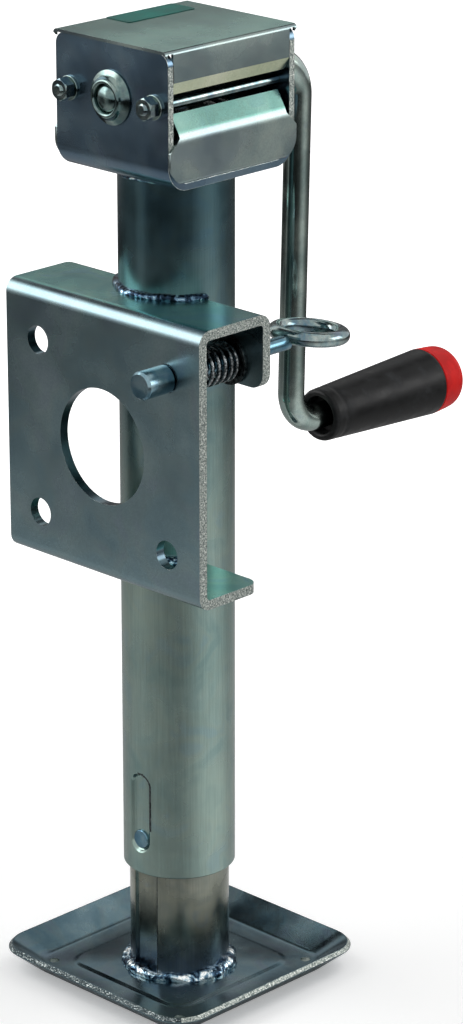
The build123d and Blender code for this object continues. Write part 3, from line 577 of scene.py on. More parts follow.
# %% Outer tube
def outer_tube_shell():
    """Radius = tube radius less the pressed depth, over angle and height, then the same for the inner wall."""
    press_angle = 1.5 * recess_half_width / tube_radius
    angle = gathered(-pi, pi, -press_angle, press_angle, 44, 56)[:-1]
    margin, edge = 4 * MM, tube_edge
    height = gathered(tube_low[2] + edge, tube_high[2] - edge, recess_low - margin, recess_high + margin, 14, 90)
    around, up = np.meshgrid(angle, height)
    outer = tube_radius - pressed_depth(around, up)
    inner = outer - tube_wall
    top, foot = np.full_like(up[:1], tube_high[2]), np.full_like(up[:1], tube_low[2])
    radius = [outer, outer[-1:] - edge, inner[-1:] + edge, inner[::-1], inner[:1] + edge, outer[:1] - edge]
    return tube_points(angle, np.vstack(radius), np.vstack([up, top, top, up[::-1], foot, foot]))


tube_skin = skin(outer_tube_shell(), close_rows=True)
outer_tube = make_piece("outer_tube_drawn", [tube_skin], zinc["drawn_tube"], "stand", ["outer_tube"])
# Painted shade: a dark line along the recess's edge.
give_finish(outer_tube.data, dark_steel_and_painted_shade, recess_shadow)

# %% [markdown]
# ## The leg
#
# The leg is a thinner tube with one flat-bottomed groove rolled along its front, so that the plug can slide in
# it and the leg can't turn. Its outline is a circle that steps in to a flat floor. The step is a smooth one,
# because the groove was rolled and not cut. A dark line of painted shade lies on its right step.

# %% Leg
leg_low, leg_high = extent("inner_tube")
leg_radius = leg_high[:2].max()
leg_wall = 2.5 * MM
leg_edge = 0.4 * MM
groove_half_width = 7.5 * MM
groove_floor = leg_radius - 2.8 * MM
groove_edge = 0.9 * MM
groove_dark = 0.75 * MM


def leg_outline():
    """Radius at each angle: the circle, less a smooth step down to a flat floor inside the groove's width."""
    groove_angle = 1.35 * groove_half_width / leg_radius
    angle = gathered(-pi, pi, -groove_angle, groove_angle, 40, 72)[:-1]
    across = leg_radius * np.sin(angle)
    in_front = np.cos(angle) > 0
    share = smooth_step(groove_half_width - np.abs(across), -groove_edge / 2, groove_edge / 2) * in_front
    flat = groove_floor / np.maximum(np.cos(angle), 0.5)
    return angle, leg_radius + (flat - leg_radius) * share


def groove_shadow(faces):
    """The step on the groove's right side, which gets painted shade."""
    at_step = np.abs(faces.x - groove_half_width) < groove_dark
    return at_step & (faces.y < 0) & (faces.ny < 0)


def leg_shell():
    """The outline up the outer wall and down the inner one, drawn in by a small chamfer at each end."""
    angle, outer = leg_outline()
    inner = outer - leg_wall
    low, high, edge = leg_low[2], leg_high[2], leg_edge
    radius = [outer - edge, outer, outer, outer - edge, inner + edge, inner, inner, inner + edge]
    height = [low, low + edge, high - edge, high, high, high - edge, low + edge, low]
    return tube_points(angle, np.array(radius), np.array(height)[:, None])


leg_skin = skin(leg_shell(), close_rows=True)
leg = make_piece("leg_tube_rolled", [leg_skin], zinc["drawn_leg"], "leg", ["inner_tube"])
# Painted shade: a dark line on the groove's right step.
give_finish(leg.data, dark_steel_and_painted_shade, groove_shadow)

# %% [markdown]
# ## The foot
#
# The foot is one blank pressed to a shallow square pan: a raised pad in the middle, a flat floor, a bend, and
# walls that lean out to a cut rim. Every level of it is the same figure, a square with rounded corners, so the
# whole pan is a profile of (half width, height) carried round that figure. Where the press stretches metal, the
# profile has an arc instead of a corner. The blank was cut square to its sheet before it was pressed, so the rim
# stands square to the leaning wall, and it gets the torn finish.

# %% The foot's sizes
foot_high = extent("foot_plate")[1]
foot_half = foot_high[0]
foot_height = foot_high[2]
foot_sheet = 3.0 * MM
foot_corner = 18.0 * MM
wall_lean = radians(48)
pan_bend = 4.5 * MM
pan_middle = 0.3 * MM
pad_half = 41.0 * MM
pad_rise = 1.0 * MM
rim_softness = 0.35 * MM
# The pale part of the rim reaches farther down on +X, which is painted light.
bright_rim = 0.8 * MM
bright_rim_right = 1.7 * MM
nail_hole_radius = 2.5 * MM
nail_hole_place = 46.0 * MM
corner_signs = ((-1, -1), (-1, 1), (1, -1), (1, 1))


# %% The foot's figure and profile
def rounded_square(half, corner, per_corner=14, per_side=10):
    """Points round a square whose corners are arcs: arcs of a quarter turn, joined by straight sides."""
    turns = np.arange(4) * pi / 2
    bend = np.linspace(0, pi / 2, per_corner)
    inset = half - corner
    corner_points = together(inset + corner * np.cos(bend), inset + corner * np.sin(bend))
    share = np.linspace(0, 1, per_side + 2)[1:-1, None]
    side_points = corner_points[-1] + (np.array([-inset, half]) - corner_points[-1]) * share
    quarter = np.vstack([corner_points, side_points])
    turn = np.array([[np.cos(turns), -np.sin(turns)], [np.sin(turns), np.cos(turns)]])
    return np.einsum("ijk,nj->kni", turn, quarter).reshape(-1, 2)


def pan_line(inset):
    """The pan's line from the middle to the rim, as (half width, height), inset upwards through the sheet."""
    wall = np.array([np.sin(wall_lean), np.cos(wall_lean)])
    into_sheet = np.array([-np.cos(wall_lean), np.sin(wall_lean)])
    outer_rim = np.array([foot_half, foot_height - foot_sheet * np.sin(wall_lean)])
    rim = outer_rim + inset * into_sheet
    corner = rim - wall * (rim[1] - inset) / wall[1]
    return round_corners([(pan_middle, inset), corner, rim], [pan_bend + foot_sheet - inset], 8)


def foot_profile():
    """Pad, floor and wall on top, the cut rim with its edges softened, then wall and floor below."""
    steps = np.array([(-1.6, 1.0), (-0.9, 0.9), (-0.1, 0.5), (0.7, 0.1), (1.6, 0.0)])
    pad = np.array([pad_half, foot_sheet]) + steps * [MM, pad_rise]
    middle = np.array([[pan_middle, foot_sheet + pad_rise]])
    top, under = pan_line(foot_sheet)[1:], pan_line(0.0)[1:]
    across = (under[-1] - top[-1]) / foot_sheet * rim_softness
    down = unit(top[-1] - top[-2]) * rim_softness
    rim = [top[-1] - down, top[-1] + across, under[-1] - across, under[-1] - down]
    return np.vstack([middle, pad, top[:-1], rim, under[-2::-1], [(pan_middle, 0.0)]])


def foot_shell():
    """The profile carried round a rounded square whose corner radius shrinks with the half width."""
    half, height = foot_profile().T
    corner = np.clip(foot_corner - (foot_half - half), 0.25 * half, foot_corner)
    flat = np.stack([rounded_square(h, c) for h, c in zip(half, corner)])
    return together(flat[..., 0], flat[..., 1], height[:, None])


# %% Punched holes and the torn edge
def punch(piece, places, radius, finish):
    """Cuts round holes through a piece and gives their walls the finish given."""
    reach = 3 * foot_sheet
    cutter_line = turned([(radius, -reach), (radius, reach)], (0, 0, 0), "z", 32)
    for x, y in places:
        mesh = mesh_of("punch", [skin(cutter_line + np.array([x, y, 0]), close_ends=True)])
        mesh.materials.append(finish)
        cutter = put_in_scene("punch", mesh)
        cut = piece.modifiers.new("hole", "BOOLEAN")
        cut.object, cut.operation, cut.solver = cutter, "DIFFERENCE", "EXACT"
        cut.material_mode = "TRANSFER"
        bpy.context.view_layer.update()
        piece_now = piece.evaluated_get(bpy.context.evaluated_depsgraph_get())
        cut_mesh = bpy.data.meshes.new_from_object(piece_now)
        piece.modifiers.remove(cut)
        piece.data = cut_mesh
        bpy.data.objects.remove(cutter)
    shade(piece.data)


def cut_edge(faces):
    """Faces that look up and away from the middle, and the pale upper part, which reaches farther down on +X as
    painted light.
    """
    outwards = np.maximum(faces.nx * np.sign(faces.x), faces.ny * np.sign(faces.y))
    bright_depth = np.where(faces.x > -faces.y, bright_rim_right, bright_rim)
    return (faces.nz > 0.2) & (outwards > 0.2), faces.z > foot_height - bright_depth


def on_the_rim(faces):
    """The upper part of the cut edge."""
    on_edge, bright = cut_edge(faces)
    return on_edge & bright


def painted_shade_under_rim(faces):
    """The lower part of the cut edge, where a dark copy of the torn finish is painted shade."""
    on_edge, bright = cut_edge(faces)
    return on_edge & ~bright & (faces.z > 0.7 * foot_height)


# %% Foot pan
foot_skin = skin(foot_shell(), close_ends=True)
foot = make_piece("foot_pan_pressed", [foot_skin], zinc["pressed_foot"], "leg", ["foot_plate"])
# Painted light: the nail holes' walls get the lighter edge finish, so that they look pale.
punch(foot, [(x * nail_hole_place, y * nail_hole_place) for x, y in corner_signs], nail_hole_radius, worn_edge_and_highlight)
# Painted light and shade on the torn rim: its lower part is darker, and its pale upper part reaches farther down on
# +X.
give_finish(foot.data, cut_steel, on_the_rim)
give_finish(foot.data, shaded_cut_steel, painted_shade_under_rim)

# %% [markdown]
# ## Weld beads
#
# A fillet weld fills the corner between a tube and a plate. Its section bulges out from the corner, and along
# the seam it is a row of overlapping drops, each one frozen as a crescent. So the bead's size is a wave along
# the ring whose phase lags on the flanks, which bends each ripple into a crescent. A few slow waves of random
# size and a row of lumps are added, because no hand moves evenly.

# %% A bead round a tube
ripple_length = 2.6 * MM
lump_length = 1.3 * ripple_length
lump_lean = 3.1
bulge = 0.78
ripple_share = 0.05
corner_share = 0.12
lowest_weld = 1.0 * MM
hand = np.random.default_rng(7)


def weld_ring(radius, size_mm, height, up=1, reach=None, wander=0.16):
    """A bead round a tube: section radius = fillet size times (bulge + ripples + slow waves + lumps).

    up is 1 or -1, for a bead above or below its height, and reach is the angle that it covers to both sides of
    the front, or None for a full ring.
    """
    leg = size_mm * MM
    closed = reach is None
    start, end = (0.0, 2 * pi) if closed else (-reach, reach)
    count = int((end - start) * radius / (ripple_length / 6))
    along = np.linspace(start, end, count, endpoint=not closed)[:, None]
    across = circle(28)[None, :]
    distance = along * radius
    lag = 0.35 * np.cos(across - pi / 4) ** 2
    ripples = ripple_share * np.sin(pi * distance / ripple_length + 2.2 * lag) ** 2
    waves = np.arange(2, 9)
    phases = hand.uniform(0, 2 * pi, len(waves))
    sizes = wander * hand.normal(0, 0.4, len(waves)) / np.sqrt(waves)
    slow = (sizes * np.sin(along[..., None] * waves + phases)).sum(axis=-1)
    taper = 1.0 if closed else np.clip(np.minimum(along - start, end - along) * radius / (2 * MM), 0.1, 1)
    lumps = 0.5 * wander * np.sin(lump_lean * along + 2 * across) * np.sin(distance / lump_length)
    size = leg * (bulge + ripples + slow + lumps) * taper
    radial = radius + leg * corner_share + size * np.cos(across)
    lift = height + up * (leg * corner_share + size * np.sin(across))
    return tube_points(along, radial, np.maximum(lift, lowest_weld)), closed


# %% Weld beads
plate_low, plate_high = extent("mount_bracket")
head_low, head_high = extent("gear_housing")
foot_weld_z = extent("foot_weld")[0][2]
plate_weld_z = extent("bracket_weld_bottom")[0][2]
side_reach = radians(78)
low_reach = side_reach * 0.85
for name, node, body, finish, *ring in (
    ("weld_foot", "foot_weld", "leg", weld_metal, leg_radius, 4.6, foot_weld_z, 1, None, 0.34),
    ("weld_head", "housing_weld", "stand", weld_metal, tube_radius, 2.6, head_low[2], -1),
    ("weld_plate_top", "bracket_weld_top", "stand", dark_weld, tube_radius, 3.0, plate_high[2], 1, side_reach, 0.24),
    ("weld_plate_bottom", "bracket_weld_bottom", "stand", weld_metal, tube_radius, 4.0, plate_weld_z, 1, low_reach),
):
    points, closed = weld_ring(*ring)
    shell = skin(points, close_rows=closed, close_ends=not closed)
    make_piece(name, [shell], finish, body, [node], sharp_from=80)

# %% [markdown]
# ## Bent bars: the crank and the pull ring
#
# The crank is one round bar, bent twice. The pull ring is a thinner bar bent round to an eye. A bent bar is its
# centre line with a circle carried along it. The crank's first end is the shaft that shows in the bush, and it is
# domed and turned, so it gets a greyer finish than the bar.

# %% Bars along a path
def directions(path):
    """Unit tangents of a path, from the differences of neighbouring points."""
    return unit(np.gradient(path, axis=0))


def bar(path, side, radius, columns=40):
    """A circle carried along a path: point = path + radius (cos a side + sin a (tangent x side))."""
    side = np.broadcast_to(side, path.shape)
    other = unit(np.cross(directions(path), side))
    angle = circle(columns)
    radius = np.broadcast_to(radius, len(path))[:, None, None]
    ring = side[:, None, :] * np.cos(angle)[:, None] + other[:, None, :] * np.sin(angle)[:, None]
    return path[:, None, :] + radius * ring


def domed_ends(path, radius, dome_share=0.45, count=6):
    """Extra path points and radii that round a bar's first end: radius = r sqrt(1 - s^2) over the dome."""
    depth = radius * dome_share
    share = np.cos(np.linspace(0.15, pi / 2, count))
    tip = path[0] + depth * (1 - share[:, None]) * directions(path)[0]
    dome_radius = radius * np.sqrt(1 - share**2)
    line = np.vstack([tip, path[1:]])
    return line, np.concatenate([dome_radius, np.full(len(path) - 1, radius)])


# %% Crank
crank_low, crank_high = extent("crank_handle")
bar_radius = crank_high[0]
shaft_z = crank_high[2] - bar_radius
grip_z = crank_low[2] + bar_radius
shaft_end_length = 6 * MM
arm_top_y = 85.8 * MM
arm_low_y = 81.0 * MM
top_bend = 20.0 * MM
low_bend = 17.0 * MM
points_per_bend = 22
crank_corners = [
    (0, crank_low[1], shaft_z),
    (0, arm_top_y, shaft_z),
    (0, arm_low_y, grip_z),
    (0, crank_high[1], grip_z),
]
crank_line = round_corners(crank_corners, [top_bend, low_bend], points_per_bend)
crank_path, crank_radius = domed_ends(crank_line, bar_radius)
crank_skin = skin(bar(crank_path, np.array([1.0, 0, 0]), crank_radius), close_ends=True)
crank = make_piece("crank_bent_bar", [crank_skin], zinc["drawn_bar"], "crank", ["crank_handle"])


def shaft_end(faces):
    """The turned end of the shaft."""
    return faces.y < crank_low[1] + shaft_end_length


give_finish(crank.data, zinc["pressed_bush"], shaft_end)

# %% Pull ring
ring_low, ring_high = extent("pull_ring")
ring_bar = 3.75 * MM
ring_bend = (ring_high[0] - ring_low[0]) / 2 - ring_bar
ring_droop = radians(6.5)
ring_centre = (ring_low + ring_high) / 2 + np.array([-1.6, 0.2, 0.7]) * MM
ring_turn = circle(96)
section_turn = circle(32)
ring_across = np.array([1.0, 0, 0])
ring_along = np.array([0, cos(ring_droop), -sin(ring_droop)])
ring_up = np.cross(ring_across, ring_along)
ring_radial = np.outer(np.cos(ring_turn), ring_across) + np.outer(np.sin(ring_turn), ring_along)
ring_reach = (ring_bend + ring_bar * np.cos(section_turn))[None, :, None]
ring_lift = ring_up * ring_bar * np.sin(section_turn)[None, :, None]
ring_skin = skin(ring_centre + ring_radial[:, None, :] * ring_reach + ring_lift, close_rows=True)
make_piece("pull_ring_eye", [ring_skin], zinc["bent_ring"], "pin", ["pull_ring"])

# %% [markdown]
# ## The lock pin
#
# The pin is turned from bar: a thick end with a chamfered tip that goes into the trailer's bracket, a narrow
# groove where it meets the plate, and a thinner shank that runs through the tab to the ring and is drawn down to
# the ring's own bar behind the tab. It is an outline turned about its axis.

# %% Lock pin
pin_low, pin_high = extent("lock_pin")
pin_centre_x = (pin_low[0] + pin_high[0]) / 2
pin_centre_z = (pin_low[2] + pin_high[2]) / 2
pin_radius = (pin_high[0] - pin_low[0]) / 2
pole_radius = 0.2 * MM
pin_chamfer = 1.1 * MM
tip_round = 0.5 * MM
pin_shoulder = -30.0 * MM
shoulder_bevel = 0.4 * MM
shank_radius = 5.0 * MM
tail_radius = 3.9 * MM
tail_start = 6.0 * MM
groove_start, groove_end = plate_low[1] - 1.0 * MM, plate_low[1] + 1.0 * MM
groove_radius = pin_radius - 0.8 * MM
groove_slope = 0.1 * MM
pin_outline = np.vstack([
    [(pole_radius, pin_low[1]), (pin_radius - pin_chamfer, pin_low[1])],
    arc((pin_radius - tip_round, pin_low[1] + pin_chamfer + 0.3 * MM), tip_round, -45, 0, 4),
    [(pin_radius, groove_start), (groove_radius, groove_start + groove_slope)],
    [(groove_radius, groove_end - groove_slope), (pin_radius, groove_end)],
    [(pin_radius, pin_shoulder - shoulder_bevel), (pin_radius - shoulder_bevel, pin_shoulder)],
    [(shank_radius, pin_shoulder), (shank_radius, tail_start), (shank_radius - 0.2 * MM, tail_start + 1.0 * MM)],
    [(tail_radius + 0.1 * MM, tail_start + 4.0 * MM), (tail_radius, tail_start + 6.0 * MM)],
    [(tail_radius, pin_high[1] - 1.0 * MM), (pole_radius, pin_high[1])],
])
pin_skin = skin(turned(pin_outline, (pin_centre_x, 0, pin_centre_z)), close_ends=True)
make_piece("lock_pin_turned", [pin_skin], zinc["turned_pin"], "pin", ["lock_pin"], sharp_from=28)

# %% [markdown]
# ## The spring
#
# The spring is wound from round wire. Its two end turns are wound closer, so that it stands square on the
# collar and on the washer. The helix's pitch is therefore a smooth function of the turn and not a constant.
# When the pin is pulled the spring shortens, so this piece is flattened towards the washer by the frame.

# %% Spring
spring_low, spring_high = extent("lock_spring")
wire_radius = 1.05 * MM
coil_radius = (spring_high[0] - spring_low[0]) / 2 - wire_radius
spring_turns = 7.5
points_per_turn = 40
closed_share, open_share = 0.02, 0.16
least_rise = 0.38


def spring_shell():
    """A helix whose rise per turn is the wire's width at the ends and wider between, with wire round it."""
    turn = np.linspace(0, 1, int(spring_turns * points_per_turn))
    from_ends = [smooth_step(place, closed_share, open_share) for place in (turn, 1 - turn)]
    rise = least_rise + from_ends[0] * from_ends[1]
    place = np.cumsum(rise) - rise[0]
    place = place / place[-1]
    start, end = spring_low[1] + wire_radius, spring_high[1] - wire_radius
    angle = 2 * pi * spring_turns * turn
    out = together(np.cos(angle), 0 * angle, np.sin(angle))
    centre = np.array([pin_centre_x, 0, pin_centre_z]) + coil_radius * out
    centre[:, 1] = start + (end - start) * place
    return bar(centre, out, wire_radius, 14)


spring_skin = skin(spring_shell(), close_ends=True)
spring = make_piece("lock_spring_coil", [spring_skin], spring_steel, "stand", ["lock_spring"])
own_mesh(spring)

# %% [markdown]
# ## The grip and its cap
#
# The grip is a moulded rubber sleeve. It widens evenly from the crank to the cap, has a thick rounded rim round
# a mouth that the bar goes into, and a shallow groove behind the rim. A red cap closes its end and is flush with
# it. Both are outlines turned about the bar.

# %% The sizes of the grip and its cap
sleeve_low, sleeve_high = extent("grip_sleeve")
cap_high = extent("grip_cap")[1]
seam_y = sleeve_high[1] - 3.0 * MM
seam_softness = 0.4 * MM
grip_length = seam_y - sleeve_low[1]
near_radius = 13.6 * MM
seam_radius = sleeve_high[0]
mouth_radius = 9.6 * MM
mouth_depth = 8.0 * MM
rim_round = (near_radius - mouth_radius) / 2
rim_groove_place = 8.0 * MM
rim_groove_depth = 0.5 * MM
rim_groove_width = 0.8 * MM
bore_radius = bar_radius + 0.06 * MM
cap_length = cap_high[1] - seam_y
end_radius = cap_high[0]
cap_round = 8.5 * MM
cap_crown = 0.9 * MM


# %% Grip and cap
def grip_outline():
    """Radius grows evenly with length, less a narrow bell-shaped groove behind the rim."""
    along = np.linspace(rim_round, grip_length - 0.6 * MM, 70)
    radius = near_radius + (seam_radius - near_radius) * along / grip_length
    groove = rim_groove_depth * np.exp(-(((along - rim_groove_place) / rim_groove_width) ** 2))
    side = together(radius - groove, along)
    rim = arc((near_radius - rim_round, rim_round), rim_round, -180, -5, 14)
    deep = [(mouth_radius, mouth_depth), (bore_radius, mouth_depth + 0.5 * MM), (bore_radius, grip_length)]
    return np.vstack([deep[::-1], rim, side, [(seam_radius - seam_softness, grip_length)]])


cap_outline = np.vstack([
    [(bore_radius, 0.2 * MM), (seam_radius - seam_softness, 0.0), (seam_radius, seam_softness)],
    [(end_radius + 0.2 * MM, 0.45 * cap_length)],
    arc((end_radius - cap_round, cap_length - cap_crown - cap_round), cap_round, 0, 78, 12),
    [(end_radius * 0.35, cap_length - 0.2 * MM), (0.3 * MM, cap_length)],
])
grip_skin = skin(turned(grip_outline(), (0, sleeve_low[1], grip_z)), close_rows=True)
cap_skin = skin(turned(cap_outline, (0, seam_y, grip_z)), close_ends=True)
make_piece("grip_moulded_sleeve", [grip_skin], grip_rubber, "grip", ["grip_sleeve"])
make_piece("grip_end_cap", [cap_skin], cap_plastic, "grip", ["grip_cap"])

# %% [markdown]
# ## Folded sheet pieces
#
# The mount plate and the gear head's sheets are already right in the frame, down to their bend radii. What they
# lack is an edge that catches light. So a copy of each is merged to clean faces, its sharp edges get a small
# rounding, and its faces are told apart. A face that lies inside the sheet's thickness, away from both surfaces,
# was cut, and so was a large face that looks sideways, along the fold. Those get the torn finish. The walls of
# the drilled holes get the darker finish of the foot, because little light comes into them.

# %% Copies with softened edges
def merged_copy(node, cut_heights=()):
    """A copy of a node's mesh with its doubled points merged and its flat faces joined, cut across at heights."""
    mesh = frame["nodes"][node].data.copy()
    mesh.materials.clear()
    work = bmesh.new()
    work.from_mesh(mesh)
    bmesh.ops.remove_doubles(work, verts=work.verts, dist=0.001 * MM)
    bmesh.ops.dissolve_limit(work, angle_limit=radians(0.4), verts=work.verts, edges=work.edges)
    for height in cut_heights:
        everything = [*work.verts, *work.edges, *work.faces]
        bmesh.ops.bisect_plane(work, geom=everything, plane_co=(0, 0, height), plane_no=(0, 0, 1))
    work.to_mesh(mesh)
    work.free()
    return mesh


def dressed(node, name, finish, body, slot, softness_mm, others=(), edge=None, cut_heights=(), reshape=None):
    """A merged copy of a node with its sharp edges rounded, standing for the node.

    others are (finish, which faces) pairs, and reshape takes the copy's points and returns them where they go.
    """
    mesh = merged_copy(node, cut_heights)
    mesh.name = name
    if reshape:
        points = np.zeros(len(mesh.vertices) * 3)
        mesh.vertices.foreach_get("co", points)
        mesh.vertices.foreach_set("co", reshape(points.reshape(-1, 3)).ravel())
        mesh.update()
    mesh.materials.append(finish)
    for other, faces in others:
        give_finish(mesh, other, faces)
    mesh.materials.append(edge or finish)
    shade(mesh, 25)
    piece = place_piece(name, mesh, body, [node])
    soften = piece.modifiers.new("soft_edges", "BEVEL")
    soften.width = softness_mm * MM
    soften.segments = 2
    soften.limit_method = "ANGLE"
    soften.angle_limit = radians(30)
    soften.harden_normals = True
    soften.material = len(mesh.materials) - 1
    print(f"{name}: {len(mesh.polygons)} faces")


# %% Telling faces apart
def depth_below(across, along, low, high, radius):
    """How far inside a rounded rectangle's outline a point lies."""
    middle = (np.array(low) + high) / 2
    half = (np.array(high) - low) / 2 - radius
    beyond = np.abs(together(across, along) - middle) - half
    outside = np.linalg.norm(np.maximum(beyond, 0), axis=-1)
    return radius - outside - np.minimum(beyond.max(axis=-1), 0)


def looks_sideways(faces, least_area_mm2=25):
    """Large faces that look along the fold: the sheet's own section."""
    return (np.abs(faces.nx) > 0.9) & (faces.area > least_area_mm2 * MM * MM)


def looks_up(faces):
    """Faces that lie level and look up."""
    return faces.nz > 0.96


# %% Mount plate
plate_sheet = 5.0 * MM
plate_bend = 7.0 * MM
hole_step = 44.45 * MM
hole_middle = np.array([0, (plate_low[2] + plate_high[2]) / 2 - 1.5 * MM])
hole_centres = hole_middle + hole_step * np.array([*corner_signs, (0, 0)])
hole_reach = np.array([8.0] * 4 + [30.0]) * MM


def near_holes(faces):
    """Faces that lie within the reach of one of the five holes."""
    to_holes = together(faces.x, faces.z)[:, None] - hole_centres
    return (np.linalg.norm(to_holes, axis=-1) < hole_reach).any(axis=1)


def plate_cuts(faces):
    """Section faces, and faces inside the sheet's thickness that no drilled hole accounts for."""
    depth = depth_below(faces.y, faces.z, plate_low[1:], plate_high[1:], plate_bend)
    inside_sheet = (depth > 0.15 * plate_sheet) & (depth < 0.85 * plate_sheet)
    drilled = (faces.y < plate_low[1] + plate_sheet) & near_holes(faces)
    return (inside_sheet & ~drilled) | looks_sideways(faces)


def shaded_hole_walls(faces):
    """The walls of the drilled holes, whose darker finish is painted shade."""
    return (np.abs(faces.ny) < 0.3) & near_holes(faces)


# Painted reflection: the plate's up-facing faces get a teal copy of the zinc.
plate_finishes = [(zinc["tinted_flange"], looks_up), (zinc["pressed_foot"], shaded_hole_walls), (cut_steel, plate_cuts)]
plate_look = (zinc["rolled_sheet"], "stand", "zinc_plate", 0.4, plate_finishes, worn_edge_and_highlight)
dressed("mount_bracket", "mount_plate_folded", *plate_look)

# %% The head's sizes and faces
head_corner_z = head_low[2] + 12 * MM
cover_inside_x = 35 * MM
cover_sheet = 1.5 * MM
cover_half_sheet = 0.8 * MM
lip_fold = np.array([39.5, 453.0]) * MM
lip_slope = 0.62
lip_reach = 3.0 * MM
lip_widening = 0.26 * MM


def head_cuts(faces):
    """The section of the head's walls. Lower down it is plated over smoothly."""
    return looks_sideways(faces) & (faces.z > head_corner_z)


def eased_fold(points):
    """Beside the fold the sheet follows a parabola from upright to the lip's slope, not the sharp fold.

    A sloped sheet measures a little more across than an upright one, so the inner face lies farther in there.
    """
    above = points[:, 2] - lip_fold[1]
    near = (np.abs(above) < lip_reach) & (np.abs(points[:, 0]) > cover_inside_x)
    share = np.clip((above + lip_reach) / (2 * lip_reach), 0, 1)
    sharp = lip_fold[0] - lip_slope * np.maximum(above, 0)
    outside = lip_fold[0] - lip_slope * lip_reach * share**2
    inside = np.abs(points[:, 0]) < sharp - cover_half_sheet
    across = np.where(inside, outside - (cover_sheet + lip_widening * share), outside)
    moved = points.copy()
    moved[near, 0] = (np.sign(points[:, 0]) * across)[near]
    return moved


def upper_lip(faces):
    """The lower cover's lip above the fold, which gets a greener zinc as painted reflection."""
    return (faces.nz > 0.35) & (faces.nz < 0.7) & (faces.z > lip_fold[1] + 0.6 * lip_reach)


def lid_lips(faces):
    """The lid's lower edges, bent in under it, which get a pale zinc as painted reflection."""
    return (np.abs(faces.nx) > 0.7) & (faces.nz < -0.2)


# %% Gear head's frame, lower cover and lid
lip_cuts = lip_fold[1] + np.linspace(-lip_reach, lip_reach, 13)
# Painted reflection: the lid's top and the lower cover's upper lip get a greener copy of the zinc, and the lid's
# bent-in lips a pale one.
lid_finishes = [(zinc["lid_top"], looks_up), (zinc["pale_lip"], lid_lips)]
frame_look = (zinc["head_sheet"], "stand", "zinc_plate", 0.3, [(cut_steel, head_cuts)], worn_edge_and_highlight)
cover_look = (zinc["cover_sheet"], "stand", "zinc_plate", 0.3, [(zinc["lid_top"], upper_lip)], worn_edge_and_highlight)
lid_look = (zinc["cover_sheet"], "stand", "zinc_plate", 0.25, lid_finishes, worn_edge_and_highlight)
dressed("gear_housing", "gear_head_frame", *frame_look, cut_heights=[head_corner_z])
dressed("lower_cover", "gear_head_lower_cover", *cover_look, cut_heights=lip_cuts, reshape=eased_fold)
dressed("lid", "gear_head_lid", *lid_look)
dressed("lid_label", "lid_label_film", label_film, "stand", "label", 0.1)

# %% Washers, bushes and the pieces beside the spring
for node, name, finish, body, slot in (
    ("cover_washers", "cover_washers_plated", zinc["drawn_bar"], "stand", "bright_zinc"),
    ("rear_bush", "shaft_bush_rear", zinc["drawn_bar"], "stand", "bright_zinc"),
    ("guide_key", "guide_key_plug", zinc["turned_pin"], "stand", "bright_zinc"),
    ("spring_seat", "spring_seat_washer", dark_steel_and_painted_shade, "stand", "spring_steel"),
    ("pin_collar", "pin_collar_turned", dark_steel_and_painted_shade, "pin", "spring_steel"),
):
    dressed(node, name, finish, body, slot, 0.25)

# %% [markdown]
# ## The front bush
#
# The crank's shaft leaves the head through a pressed bush that flares where it meets the wall, like the foot of
# a trumpet, and ends in a rounded nose round the shaft. It is one outline turned about the shaft: the flare is an
# arc that starts level with the wall, and the nose is an arc that rolls into the bore.

# %% Front bush
bush_low, bush_high = extent("front_bush")
wall_y = head_low[1]
bush_foot = (bush_high[0] - bush_low[0]) / 2
bush_neck = 9.6 * MM
nose_round = 1.3 * MM
nose_start = bush_low[1] + nose_round
sleeve_radius = bar_radius + 3.17 * MM
foot_edge = 0.3 * MM
flare_corners = [(bush_foot, wall_y - 0.9 * MM), (bush_neck + 1.2 * MM, wall_y - 2.2 * MM), (bush_neck, nose_start)]
flare = round_corners(flare_corners, [2.6 * MM])
bush_line = np.vstack([
    [(bore_radius, bush_high[1]), (bore_radius, nose_start + 0.6 * MM), (bore_radius + 0.3 * MM, nose_start)],
    arc((bush_neck - nose_round, nose_start), nose_round, -150, 0, 9),
    flare[::-1][1:],
    [(bush_foot, wall_y - foot_edge), (bush_foot - foot_edge, wall_y)],
    [(sleeve_radius, wall_y), (sleeve_radius, bush_high[1])],
])
bush_skin = skin(turned(bush_line, (0, 0, shaft_z)), close_rows=True)
make_piece("shaft_bush_front", [bush_skin], zinc["pressed_bush"], "stand", ["front_bush"])

# %% [markdown]
# ## The cover bolts and their nuts
#
# Two long bolts hold the head's covers. Only their shanks in the window, and their threaded ends in the nuts, are
# seen. A thread is a ridge that climbs one pitch each turn, so the radius is a triangle wave of the height less
# the turned angle over a full turn. A nut is a six-sided prism that was turned at both faces, so its radius is
# the smaller of the hexagon's and of a cone's, and the cone leaves the curved bright corners of a real nut.

# %% The bolts' sizes
bolt_low, bolt_high = extent("cover_bolts")
nut_low, nut_high = extent("cover_nuts")
bolt_radius = 3.0 * MM
thread_pitch = 1.0 * MM
thread_depth = 0.5 * MM
thread_length = 16 * MM
tip_share = 0.75
bolt_z = (bolt_low[2] + bolt_high[2]) / 2
bolt_places = (-28.5 * MM, 28.5 * MM)
bolt_head_start = head_high[1]
hex_across = 10.0 * MM


# %% A threaded shank and a hexagon
def bolt_points(x, radius, angle, along):
    """Round a bolt's axis, which lies along +Y: x + radius cos(angle), along, z + radius sin(angle)."""
    return together(x + radius * np.cos(angle), along, bolt_z + radius * np.sin(angle))


